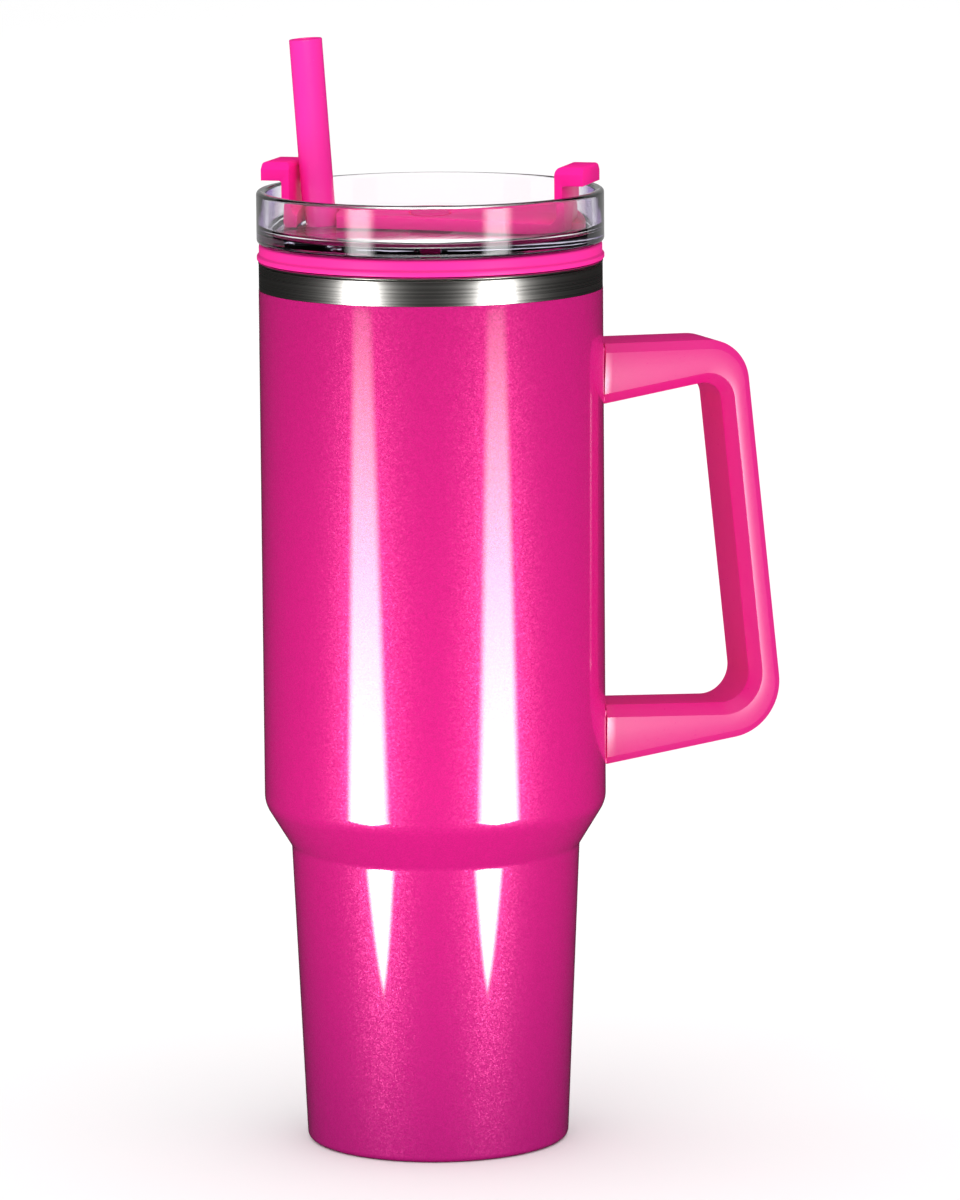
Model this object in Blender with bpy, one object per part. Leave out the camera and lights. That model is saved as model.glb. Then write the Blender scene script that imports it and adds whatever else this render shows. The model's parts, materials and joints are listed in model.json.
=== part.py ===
"""Insulated tumbler: a vacuum cup on a narrow foot, a bolted-on handle, a clear press-in lid with a
turning cover, and a straw.

The cup's axis is +Z with the resting face at z = 0, and the handle stands out along +X. Lengths are
in millimetres in the constants below and become metres through MM.
"""

import math

import bmesh
import bpy
from mathutils import Matrix, Vector

MM = 0.001

# Fits
GAP = 0.3  # left between pieces that touch
STRAW_CLEARANCE = 0.5  # around the straw where it passes a hole

# Cup shell
BODY_RADIUS = 49.5
FOOT_INSET = 11.5  # the foot's lower edge inside the body
SHOULDER_INSET = 7.7  # the same, where the foot meets the shoulder
SHOULDER_Z = 86.8
SHOULDER_RISE = 12.6
SHOULDER_FILLET = 8.0
BASE_FILLET = 1.8
MOUTH_Z = 257.1  # top of the steel lip
SHELL_WALL = 0.6
LINER_WALL = 0.6
VACUUM_GAP = 3.3
LINER_CORNER = 9.0
LINER_FLOOR_RISE = 5.0  # from the shell bottom's top face to the liner's underside
BASE_COVER_THICKNESS = 1.0
BASE_LIP = 4.0  # width of the shell's turned-in lower lip
SHELL_BOTTOM_RISE = 1.6  # from the base cover to the shell bottom
SHELL_BOTTOM_THICKNESS = 0.9
PORT_RADIUS = 1.6
GETTER_RADIUS = 6.0
GETTER_THICKNESS = 1.5

# Handle
HANDLE_WIDTH = 23.0
HANDLE_UNDER_MOUTH = 25.9
HANDLE_OVER_SHOULDER = 20.6
UPPER_ARM_DEPTH = 17.6
LOWER_ARM_DEPTH = 17.4
UPPER_ARM_TAPER = 5.4  # how far the upper arm's underside rises towards the grip
LOWER_ARM_RISE = 7.4  # how far the lower arm's underside rises towards the grip
LOWER_ARM_DROP = 2.1  # how far the lower arm's top falls towards the grip
GRIP_REACH_TOP = 44.1  # grip's outer face from the body, at the handle's top
GRIP_REACH_BOTTOM = 57.1  # the same, at its lowest corner
GRIP_THICKNESS = 9.2
OUTER_TOP_FILLET = 13.0
OUTER_BOTTOM_FILLET = 16.0
INNER_TOP_FILLET = 5.3
INNER_BOTTOM_FILLET = 8.5
OUTER_CHAMFER = 2.4
INNER_CHAMFER = 3.2
PAD_THICKNESS = 0.6
PAD_MARGIN = 1.0  # the pad's edge inside the arm's edge
BRACKET_WIDTH = 13.0
BRACKET_HEIGHT = 8.0
BRACKET_REACH = 14.0
SCREW_RADIUS = 1.9
SCREW_HEAD_RADIUS = 3.6
SCREW_HEAD_HEIGHT = 2.2
SCREW_FROM_ROOT = 8.0
SCREW_SEAT = 1.8  # the arm's wall over the screw's head

# Lid
LID_OVERHANG = 0.4  # the lid's edge outside the body
LID_HEIGHT = 14.9
RIM_WALL = 2.9
RING_HEIGHT = 4.8  # visible seal ring between the steel lip and the lid
RING_LIP = 0.5  # how far the seal ring's lower edge stands proud
FLOOR_RISE = 2.7  # the floor's top face above the lid's lower edge
FLOOR_THICKNESS = 2.0
PLUG_WALL = 1.6
SEAL_COLLAR = 1.6
SEAL_BEAD = 0.7  # how far each sealing bead stands out of the collar
COLLAR_DEPTH = 11.5
PLUG_LIP = 1.4  # the plug's foot stands out under the seal's collar
PLUG_LIP_THICKNESS = 1.6

# Turning cover
BAR_ANGLE = 145.0  # direction of the bar's straw end, from the handle
BAR_WIDTH = 20.0
COVER_THICKNESS = 2.4
COVER_MARGIN = 2.2  # the half-disc's edge inside the recess
BAR_RAISE = 0.4
EAR_MARGIN = 7.7  # the ear's inner face from the recess wall
EAR_THICKNESS = 2.2
HOOK_SETBACK = 2.3  # the hook's end inside the lid's edge
HOOK_OVER_RIM = 2.4  # the hook's underside above the rim
HOOK_HEIGHT = 5.2
HOOK_CHAMFER = 2.0
NOTCH_MARGIN = 0.5  # the notch's walls outside the straw's clearance
NOTCH_RUN_OUT = 11.0  # how far the notch runs past the bar's front edge, in degrees
SIP_ANGLE = 100.0  # the drinking hole, from the handle
SIP_MARGIN = 11.0  # its centre from the recess wall
SIP_LENGTH = 17.0
SIP_WIDTH = 8.0
SIP_PAD_MARGIN = 2.5
SIP_PAD_THICKNESS = 1.0
VENT_ANGLE = 125.0
VENT_FROM_AXIS = 20.0
VENT_RADIUS = 1.5
PIVOT_RADIUS = 3.0
PIVOT_HEAD_LIP = 3.0  # how far the head stands out round the pin
PIVOT_HEAD_HEIGHT = 1.2
CLIP_LIP = 3.5
CLIP_THICKNESS = 1.2
PIVOT_SEAL_LIP = 3.0
PIVOT_SEAL_THICKNESS = 1.4
PIVOT_FOOT = 1.5  # the pivot below its clip
PIVOT_FOOT_LIP = 1.0

# Straw
STRAW_RADIUS = 4.75
STRAW_WALL = 0.9
STRAW_OFF_FLOOR = 6.6  # the straw's lower end above the liner's floor
STRAW_TILT = 3.9
STRAW_TILT_TOWARDS = 160.0  # direction of its lean, from the handle
STRAW_ANGLE = 146.07  # direction of its place at the level of the rim
STRAW_FROM_EAR = 1.05  # between the straw and the ear at that level
STRAW_STAND = 42.6  # the straw's end above the rim
GROMMET_WALL = 0.9
GROMMET_FLANGE = 0.5
GROMMET_DEPTH = 2.4  # the grommet's sleeve below the floor

# Facets
TURN = 64
SMALL_TURN = 24

BASE_RADIUS = BODY_RADIUS - FOOT_INSET
LOWER_TOP_RADIUS = BODY_RADIUS - SHOULDER_INSET
HANDLE_TOP_Z = MOUTH_Z - HANDLE_UNDER_MOUTH
HANDLE_BOTTOM_Z = SHOULDER_Z + HANDLE_OVER_SHOULDER
GRIP_OUT_TOP = BODY_RADIUS + GRIP_REACH_TOP
GRIP_OUT_BOTTOM = BODY_RADIUS + GRIP_REACH_BOTTOM
RING_BOTTOM_Z = MOUTH_Z + GAP
RING_TOP_Z = RING_BOTTOM_Z + RING_HEIGHT
LID_BOTTOM_Z = RING_TOP_Z + GAP
LID_RADIUS = BODY_RADIUS + LID_OVERHANG
RIM_Z = LID_BOTTOM_Z + LID_HEIGHT
FLOOR_TOP_Z = LID_BOTTOM_Z + FLOOR_RISE
FLOOR_BOTTOM_Z = FLOOR_TOP_Z - FLOOR_THICKNESS
RECESS_RADIUS = LID_RADIUS - RIM_WALL
COVER_RADIUS = RECESS_RADIUS - COVER_MARGIN
EAR_INNER = RECESS_RADIUS - EAR_MARGIN
HOOK_REACH = LID_RADIUS - HOOK_SETBACK
SIP_RADIUS = RECESS_RADIUS - SIP_MARGIN
PIVOT_HEAD_RADIUS = PIVOT_RADIUS + PIVOT_HEAD_LIP
CLIP_RADIUS = PIVOT_RADIUS + CLIP_LIP
PIVOT_SEAL_RADIUS = PIVOT_RADIUS + PIVOT_SEAL_LIP
PIVOT_FOOT_RADIUS = PIVOT_RADIUS + PIVOT_FOOT_LIP
COVER_BOTTOM_Z = FLOOR_TOP_Z + GAP
COVER_TOP_Z = COVER_BOTTOM_Z + COVER_THICKNESS
LINER_RADIUS = BODY_RADIUS - SHELL_WALL - VACUUM_GAP
MOUTH_RADIUS = LINER_RADIUS - LINER_WALL
COLLAR_INNER = MOUTH_RADIUS - GAP - SEAL_BEAD - SEAL_COLLAR
PLUG_RADIUS = COLLAR_INNER - GAP
PLUG_LIP_Z = RING_BOTTOM_Z - COLLAR_DEPTH - GAP
PLUG_BOTTOM_Z = PLUG_LIP_Z - PLUG_LIP_THICKNESS
SHELL_BOTTOM_Z = BASE_COVER_THICKNESS + SHELL_BOTTOM_RISE
SHELL_BOTTOM_TOP_Z = SHELL_BOTTOM_Z + SHELL_BOTTOM_THICKNESS
LINER_UNDER_Z = SHELL_BOTTOM_TOP_Z + LINER_FLOOR_RISE
STRAW_TOP_Z = RIM_Z + STRAW_STAND
STRAW_LOW_Z = LINER_UNDER_Z + LINER_WALL + STRAW_OFF_FLOOR
STRAW_FROM_AXIS = EAR_INNER - STRAW_FROM_EAR - STRAW_RADIUS  # at the level of the rim


def clear_scene():
    for obj in list(bpy.data.objects):
        bpy.data.objects.remove(obj, do_unlink=True)


def material(name, color, roughness, metallic=0.0, alpha=1.0):
    made = bpy.data.materials.new(name)
    made.use_nodes = True
    shader = made.node_tree.nodes["Principled BSDF"]
    shader.inputs["Base Color"].default_value = (*color, 1.0)
    shader.inputs["Roughness"].default_value = roughness
    shader.inputs["Metallic"].default_value = metallic
    shader.inputs["Alpha"].default_value = alpha
    return made


def place(name, mesh_source, look, smooth=True):
    """Turns a bmesh in millimetres into a named object in metres."""
    bmesh.ops.scale(mesh_source, vec=(MM, MM, MM), verts=mesh_source.verts)
    mesh = bpy.data.meshes.new(name)
    mesh_source.to_mesh(mesh)
    mesh_source.free()
    if smooth:
        mesh.shade_smooth()
        mesh.set_sharp_from_angle(angle=math.radians(35))
    obj = bpy.data.objects.new(name, mesh)
    bpy.context.scene.collection.objects.link(obj)
    if look:
        mesh.materials.append(look)
    return obj


def rounded(corners, steps=4):
    """A closed outline from (u, v, fillet radius) corners, each fillet drawn as an arc."""
    points = []
    count = len(corners)
    for index, (u, v, radius) in enumerate(corners):
        here = Vector((u, v))
        if radius <= 0:
            points.append(here)
            continue
        back = (Vector(corners[index - 1][:2]) - here).normalized()
        ahead = (Vector(corners[(index + 1) % count][:2]) - here).normalized()
        half = back.angle(ahead) / 2
        reach = radius / math.tan(half)
        centre = here + (back + ahead).normalized() * (radius / math.sin(half))
        start = here + back * reach - centre
        sweep = start.angle_signed(here + ahead * reach - centre)
        for step in range(steps + 1):
            points.append(centre + Matrix.Rotation(-sweep * step / steps, 2) @ start)
    return points


def turned(points, steps=TURN):
    """A solid of revolution about Z from a closed (r, z) outline; points at r = 0 close on the axis."""
    made = bmesh.new()
    verts = [made.verts.new((point[0], 0.0, point[1])) for point in points]
    edges = []
    for index, vert in enumerate(verts):
        following = verts[(index + 1) % len(verts)]
        if vert.co.x > 0 or following.co.x > 0:
            edges.append(made.edges.new((vert, following)))
    bmesh.ops.spin(
        made, geom=verts + edges, cent=(0, 0, 0), axis=(0, 0, 1), angle=math.tau, steps=steps, use_merge=True
    )
    bmesh.ops.remove_doubles(made, verts=made.verts, dist=1e-4)
    bmesh.ops.recalc_face_normals(made, faces=made.faces)
    return made


def extruded(points, low, high, axis="Z"):
    """A prism from an outline. Along Z the outline is (x, y); along Y it is (x, z)."""
    made = bmesh.new()
    if axis == "Z":
        verts = [made.verts.new((u, v, low)) for u, v in points]
        travel = Vector((0, 0, high - low))
    else:
        verts = [made.verts.new((u, low, v)) for u, v in points]
        travel = Vector((0, high - low, 0))
    face = made.faces.new(verts)
    grown = bmesh.ops.extrude_face_region(made, geom=[face])
    moved = [item for item in grown["geom"] if isinstance(item, bmesh.types.BMVert)]
    bmesh.ops.translate(made, verts=moved, vec=travel)
    bmesh.ops.recalc_face_normals(made, faces=made.faces)
    return made


def box(low, high):
    made = bmesh.new()
    bmesh.ops.create_cube(made, size=1.0)
    size = Vector(high) - Vector(low)
    bmesh.ops.scale(made, vec=size, verts=made.verts)
    bmesh.ops.translate(made, vec=(Vector(high) + Vector(low)) / 2, verts=made.verts)
    return made


def rod(radius, low, high, steps=SMALL_TURN):
    """A plain cylinder on the Z axis."""
    return turned([(0, low), (radius, low), (radius, high), (0, high)], steps)


def tube(outer, inner, low, high, steps=SMALL_TURN):
    return turned([(inner, low), (outer, low), (outer, high), (inner, high)], steps)


def shifted(made, offset):
    bmesh.ops.translate(made, verts=made.verts, vec=offset)
    return made


def spun(made, degrees):
    bmesh.ops.rotate(
        made, verts=made.verts, cent=(0, 0, 0), matrix=Matrix.Rotation(math.radians(degrees), 3, "Z")
    )
    return made


def combine(obj, operation, name, made):
    """Cuts from or joins to an object with a hidden helper."""
    helper = place(name, made, None, smooth=False)
    helper.hide_render = True
    helper.display_type = "WIRE"
    change = obj.modifiers.new(name, "BOOLEAN")
    change.operation = operation
    change.object = helper
    change.solver = "EXACT"
    helper.hide_set(True)
    return obj


def settle(obj):
    """Applies an object's modifiers and sets its smooth shading again."""
    graph = bpy.context.evaluated_depsgraph_get()
    finished = bpy.data.meshes.new_from_object(obj.evaluated_get(graph))
    obj.modifiers.clear()
    obj.data = finished
    finished.shade_smooth()
    finished.set_sharp_from_angle(angle=math.radians(35))
    return obj


def polar(radius, degrees):
    return radius * math.cos(math.radians(degrees)), radius * math.sin(math.radians(degrees))


def set_origin(obj, point):
    """Moves an object's origin to a point in millimetres without moving its shape."""
    offset = Vector(point) * MM
    obj.data.transform(Matrix.Translation(-offset))
    obj.location = offset


# Cup


def lower_radius(z):
    return BASE_RADIUS + (LOWER_TOP_RADIUS - BASE_RADIUS) * z / SHOULDER_Z


def shell_offset(inset):
    """The body's outline between foot and mouth, moved in by an inset, as (r, z, fillet) corners."""
    slope = math.atan2(BODY_RADIUS - LOWER_TOP_RADIUS, SHOULDER_RISE)
    shift = inset * (1 - math.sin(slope)) / math.cos(slope)
    low = (LOWER_TOP_RADIUS - inset, SHOULDER_Z + shift, 2.0)
    high = (BODY_RADIUS - inset, SHOULDER_Z + SHOULDER_RISE + shift, SHOULDER_FILLET)
    return low, high


def make_outer_shell(look):
    low, high = shell_offset(0)
    inner_low, inner_high = shell_offset(SHELL_WALL)
    top = MOUTH_Z - LINER_WALL - GAP
    lip = lower_radius(0) - BASE_LIP
    inside = lower_radius(SHELL_WALL) - SHELL_WALL
    corners = [
        (lip, 0, 0),
        (lower_radius(0), 0, BASE_FILLET),
        low,
        high,
        (BODY_RADIUS, top, 0.3),
        (BODY_RADIUS - SHELL_WALL, top, 0),
        inner_high,
        inner_low,
        (inside, SHELL_WALL, BASE_FILLET - SHELL_WALL),
        (lip, SHELL_WALL, 0),
    ]
    return place("outer_shell", turned(rounded(corners, 2)), look)


def make_shell_bottom(look):
    """The pressed disc welded inside the shell's foot, with the evacuation port in its dimple."""
    edge = lower_radius(SHELL_BOTTOM_Z) - SHELL_WALL - GAP
    corners = [
        (PORT_RADIUS, SHELL_BOTTOM_Z + 0.6),
        (PORT_RADIUS + 5, SHELL_BOTTOM_Z + 0.6),
        (PORT_RADIUS + 7, SHELL_BOTTOM_Z),
        (edge, SHELL_BOTTOM_Z),
        (edge, SHELL_BOTTOM_TOP_Z),
        (PORT_RADIUS + 6.6, SHELL_BOTTOM_TOP_Z),
        (PORT_RADIUS + 4.6, SHELL_BOTTOM_TOP_Z + 0.6),
        (PORT_RADIUS, SHELL_BOTTOM_TOP_Z + 0.6),
    ]
    return place("shell_bottom", turned(corners, 48), look)


def make_vacuum_plug(look):
    stem = PORT_RADIUS - GAP
    low = SHELL_BOTTOM_Z + 0.6 - GAP
    profile = [
        (0, low - 0.8),
        (PORT_RADIUS + 1.5, low - 0.8),
        (PORT_RADIUS + 1.5, low),
        (stem, low),
        (stem, SHELL_BOTTOM_TOP_Z + 0.6),
        (0, SHELL_BOTTOM_TOP_Z + 0.6),
    ]
    return place("vacuum_plug", turned(profile, SMALL_TURN), look)


def make_base_cover(look):
    edge = BASE_RADIUS - BASE_LIP - GAP
    profile = [(0, 0), (edge, 0), (edge, BASE_COVER_THICKNESS), (0, BASE_COVER_THICKNESS)]
    return place("base_cover", turned(profile, 48), look)


def make_inner_liner(look):
    inset = SHELL_WALL + VACUUM_GAP
    low, high = shell_offset(inset)
    inner_low, inner_high = shell_offset(inset + LINER_WALL)
    floor = LINER_UNDER_Z + LINER_WALL
    foot = lower_radius(LINER_UNDER_Z) - inset
    flare = MOUTH_Z - LINER_WALL
    corners = [
        (0, LINER_UNDER_Z, 0),
        (foot, LINER_UNDER_Z, LINER_CORNER + LINER_WALL),
        low,
        high,
        (LINER_RADIUS, flare, 1.2),
        (BODY_RADIUS, flare, 0),
        (BODY_RADIUS, MOUTH_Z, 0.3),
        (MOUTH_RADIUS, MOUTH_Z, 1.0),
        inner_high,
        inner_low,
        (foot - LINER_WALL, floor, LINER_CORNER),
        (0, floor, 0),
    ]
    return place("inner_liner", turned(rounded(corners, 2)), look)


def make_getter(look):
    """The getter tablet in its clip on the shell bottom, inside the vacuum."""
    low = SHELL_BOTTOM_TOP_Z + GAP
    made = shifted(rod(GETTER_RADIUS, low, low + GETTER_THICKNESS), (18, 0, 0))
    return place("getter", made, look)


# Handle


def handle_outline():
    """The handle's side outline, (x, z, fillet), outer line then inner line."""
    slope = (GRIP_OUT_BOTTOM - GRIP_OUT_TOP) / (HANDLE_TOP_Z - HANDLE_BOTTOM_Z)
    root = BODY_RADIUS - 3

    def grip_out(z):
        return GRIP_OUT_TOP + slope * (HANDLE_TOP_Z - z)

    lower_end = HANDLE_BOTTOM_Z + LOWER_ARM_RISE
    inner_low = HANDLE_BOTTOM_Z + LOWER_ARM_DEPTH - LOWER_ARM_DROP
    inner_high = HANDLE_TOP_Z - UPPER_ARM_DEPTH + UPPER_ARM_TAPER
    outer = [
        (root, HANDLE_TOP_Z, 0),
        (grip_out(HANDLE_TOP_Z), HANDLE_TOP_Z - 0.6, OUTER_TOP_FILLET),
        (grip_out(lower_end), lower_end, OUTER_BOTTOM_FILLET),
        (root, HANDLE_BOTTOM_Z, 0),
    ]
    inner = [
        (root, HANDLE_BOTTOM_Z + LOWER_ARM_DEPTH, 0),
        (grip_out(inner_low) - GRIP_THICKNESS, inner_low, INNER_BOTTOM_FILLET),
        (grip_out(inner_high) - GRIP_THICKNESS, inner_high, INNER_TOP_FILLET),
        (root, HANDLE_TOP_Z - UPPER_ARM_DEPTH, 0),
    ]
    return outer, inner


def arm_levels():
    """Low and high z of the upper and lower arms' ends, with the sense in which each screw points."""
    upper = (HANDLE_TOP_Z - UPPER_ARM_DEPTH, HANDLE_TOP_Z)
    lower = (HANDLE_BOTTOM_Z, HANDLE_BOTTOM_Z + LOWER_ARM_DEPTH)
    return {"upper": upper, "lower": lower}


def bracket_z(levels):
    """The bracket's middle, a little above the arm's so that the screw has depth below it."""
    return (levels[0] + levels[1]) / 2 + 1.0


def make_handle(look):
    outer, inner = handle_outline()
    outline = rounded(outer + inner, 6)
    made = extruded(outline, -HANDLE_WIDTH / 2, HANDLE_WIDTH / 2, axis="Y")
    split = len(rounded(outer, 6))
    outer_points = outline[:split]

    def drawn_outside(vert):
        here = Vector((vert.co.x, vert.co.z))
        return min((here - point).length for point in outer_points) < 0.001

    chosen = {"outer": [], "inner": []}
    for edge in made.edges:
        ends = [vert.co for vert in edge.verts]
        if abs(ends[0].y - ends[1].y) > 1e-6:
            continue
        if max(end.x for end in ends) < BODY_RADIUS - 2:
            continue
        on_outer = all(drawn_outside(vert) for vert in edge.verts)
        chosen["outer" if on_outer else "inner"].append(edge)
    for side, width in (("outer", OUTER_CHAMFER), ("inner", INNER_CHAMFER)):
        edges = [edge for edge in chosen[side] if edge.is_valid]
        bmesh.ops.bevel(made, geom=edges, offset=width, segments=1, affect="EDGES", profile=0.5)
    handle = place("handle", made, look)
    seat = BODY_RADIUS + GAP + PAD_THICKNESS + GAP
    combine(handle, "DIFFERENCE", "handle_seat_cutter", rod(seat, 0, MOUTH_Z, TURN))
    for name, levels in arm_levels().items():
        middle = bracket_z(levels)
        half_width = BRACKET_WIDTH / 2 + GAP
        half_height = BRACKET_HEIGHT / 2 + GAP
        end = BODY_RADIUS + BRACKET_REACH + GAP
        near_corner = (BODY_RADIUS - 3, -half_width, middle - half_height)
        pocket = box(near_corner, (end, half_width, middle + half_height))
        combine(handle, "DIFFERENCE", name + "_pocket_cutter", pocket)
        x = BODY_RADIUS + SCREW_FROM_ROOT
        low = levels[0] - 5
        head = middle - BRACKET_HEIGHT / 2 - GAP - SCREW_SEAT
        sink = SCREW_HEAD_RADIUS + GAP
        hole = SCREW_RADIUS + GAP
        steps = [(0, low), (sink, low), (sink, head), (hole, head), (hole, middle), (0, middle)]
        combine(handle, "DIFFERENCE", name + "_screw_cutter", shifted(turned(steps, SMALL_TURN), (x, 0, 0)))
    return settle(handle)


def make_bracket(name, levels, look):
    """A steel tongue welded to the shell, tapped for the handle's screw."""
    middle = bracket_z(levels)
    made = box(
        (BODY_RADIUS - 3, -BRACKET_WIDTH / 2, middle - BRACKET_HEIGHT / 2),
        (BODY_RADIUS + BRACKET_REACH, BRACKET_WIDTH / 2, middle + BRACKET_HEIGHT / 2),
    )
    bracket = place(name + "_bracket", made, look)
    combine(bracket, "DIFFERENCE", name + "_bracket_root_cutter", rod(BODY_RADIUS + GAP, 0, MOUTH_Z, TURN))
    x = BODY_RADIUS + SCREW_FROM_ROOT
    tapped = rod(SCREW_RADIUS + GAP, middle - BRACKET_HEIGHT, middle + BRACKET_HEIGHT / 2 - 1.2)
    combine(bracket, "DIFFERENCE", name + "_bracket_tap_cutter", shifted(tapped, (x, 0, 0)))
    return settle(bracket)


def make_screw(name, levels, look):
    """A pan-head screw that enters from below, with a cross recess in its head."""
    middle = bracket_z(levels)
    under = middle - BRACKET_HEIGHT / 2 - GAP - SCREW_SEAT - GAP
    tip = middle + BRACKET_HEIGHT / 2 - 1.2 - GAP
    profile = rounded(
        [
            (0, under - SCREW_HEAD_HEIGHT, 0),
            (SCREW_HEAD_RADIUS, under - SCREW_HEAD_HEIGHT, 0.8),
            (SCREW_HEAD_RADIUS, under, 0),
            (SCREW_RADIUS, under, 0),
            (SCREW_RADIUS, tip - 0.6, 0),
            (SCREW_RADIUS - 0.6, tip, 0),
            (0, tip, 0),
        ],
        2,
    )
    screw = place(name + "_handle_screw", turned(profile, SMALL_TURN), look)
    for turn in (0, 90):
        slot = box((-1.9, -0.4, under - SCREW_HEAD_HEIGHT - 1), (1.9, 0.4, under - SCREW_HEAD_HEIGHT + 1.1))
        combine(screw, "DIFFERENCE", f"{name}_screw_recess_cutter_{turn}", spun(slot, turn))
    settle(screw)
    screw.location = ((BODY_RADIUS + SCREW_FROM_ROOT) * MM, 0, 0)
    return screw


def make_pad(name, levels, look):
    """A thin curved pad between the arm's end and the shell, with a window for the bracket."""
    inner = BODY_RADIUS + GAP
    half = HANDLE_WIDTH / 2 - PAD_MARGIN
    low = levels[0] + PAD_MARGIN
    high = levels[1] - PAD_MARGIN
    pad = place(name + "_pad", tube(inner + PAD_THICKNESS, inner, low, high, TURN), look)
    keep = box((10, -half, low - 5), (80, half, high + 5))
    combine(pad, "INTERSECT", name + "_pad_width_cutter", keep)
    middle = bracket_z(levels)
    half_width = BRACKET_WIDTH / 2 + GAP
    half_height = BRACKET_HEIGHT / 2 + GAP
    window = box((10, -half_width, middle - half_height), (80, half_width, middle + half_height))
    combine(pad, "DIFFERENCE", name + "_pad_window_cutter", window)
    return settle(pad)


# Straw


def straw_axis():
    lean = math.radians(STRAW_TILT)
    x, y = polar(math.sin(lean), STRAW_TILT_TOWARDS)
    return Vector((x, y, math.cos(lean)))


def straw_at(z):
    """The straw's centre at a height, in millimetres."""
    axis = straw_axis()
    place_at_rim = Vector((*polar(STRAW_FROM_AXIS, STRAW_ANGLE), RIM_Z))
    return place_at_rim + axis * ((z - RIM_Z) / axis.z)


def along_straw(made, z):
    """Stands a shape made about the Z axis on the straw's axis, its own z = 0 at height z."""
    turn = Vector((0, 0, 1)).rotation_difference(straw_axis()).to_matrix().to_4x4()
    made.transform(Matrix.Translation(straw_at(z)) @ turn)
    return made


def make_straw(look):
    length = (STRAW_TOP_Z - STRAW_LOW_Z) / straw_axis().z
    ring = rounded(
        [
            (STRAW_RADIUS - STRAW_WALL, 0, 0.25),
            (STRAW_RADIUS, 0, 0.25),
            (STRAW_RADIUS, length, 0.25),
            (STRAW_RADIUS - STRAW_WALL, length, 0.25),
        ],
        1,
    )
    made = along_straw(turned(ring, SMALL_TURN), STRAW_LOW_Z)
    straw = place("straw", made, look)
    set_origin(straw, straw_at(STRAW_LOW_Z))
    return straw


def grommet_centre():
    """The straw's place halfway down the grommet, as (x, y)."""
    return straw_at(FLOOR_TOP_Z - (FLOOR_THICKNESS + GROMMET_DEPTH) / 2)[:2]


def make_straw_grommet(look):
    """The silicone sleeve in the lid's straw hole; its flange hangs under the floor."""
    bore = STRAW_RADIUS + STRAW_CLEARANCE
    outer = bore + GROMMET_WALL
    flange = -FLOOR_THICKNESS - GAP
    profile = [
        (bore, -0.4),
        (outer, -0.4),
        (outer, flange),
        (outer + GROMMET_FLANGE, flange),
        (outer + GROMMET_FLANGE, flange - 1.2),
        (outer, flange - 1.2),
        (bore + 0.5, flange - GROMMET_DEPTH),
        (bore, flange - GROMMET_DEPTH),
    ]
    made = shifted(turned(profile, 32), (*grommet_centre(), FLOOR_TOP_Z))
    return place("straw_grommet", made, look)


# Lid


def make_lid_seal(look):
    """The ring that shows under the lid, and the collar with two beads that seals the mouth."""
    outer = BODY_RADIUS - 0.1
    collar = COLLAR_INNER + SEAL_COLLAR
    bead = collar + SEAL_BEAD
    low = RING_BOTTOM_Z - COLLAR_DEPTH
    corners = [
        (COLLAR_INNER, low, 0),
        (collar, low, 0),
        (collar, low + 1.5, 0),
        (bead, low + 2.3, 0),
        (collar, low + 3.1, 0),
        (collar, low + 6.0, 0),
        (bead, low + 6.8, 0),
        (collar, low + 7.6, 0),
        (collar, RING_BOTTOM_Z, 0),
        (outer + RING_LIP, RING_BOTTOM_Z, 0.4),
        (outer + RING_LIP, RING_BOTTOM_Z + 1.2, 0.4),
        (outer, RING_BOTTOM_Z + 1.7, 0),
        (outer, RING_TOP_Z, 0.4),
        (COLLAR_INNER, RING_TOP_Z, 0),
    ]
    return place("lid_seal", turned(rounded(corners, 2)), look)


def sip_outline(margin=0.0):
    """The drinking hole's rounded outline, standing across its radius."""
    half_length = SIP_LENGTH / 2 + margin
    half_width = SIP_WIDTH / 2 + margin
    corners = [
        (SIP_RADIUS - half_width, -half_length, half_width * 0.9),
        (SIP_RADIUS + half_width, -half_length, half_width * 0.9),
        (SIP_RADIUS + half_width, half_length, half_width * 0.9),
        (SIP_RADIUS - half_width, half_length, half_width * 0.9),
    ]
    return rounded(corners, 4)


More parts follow.
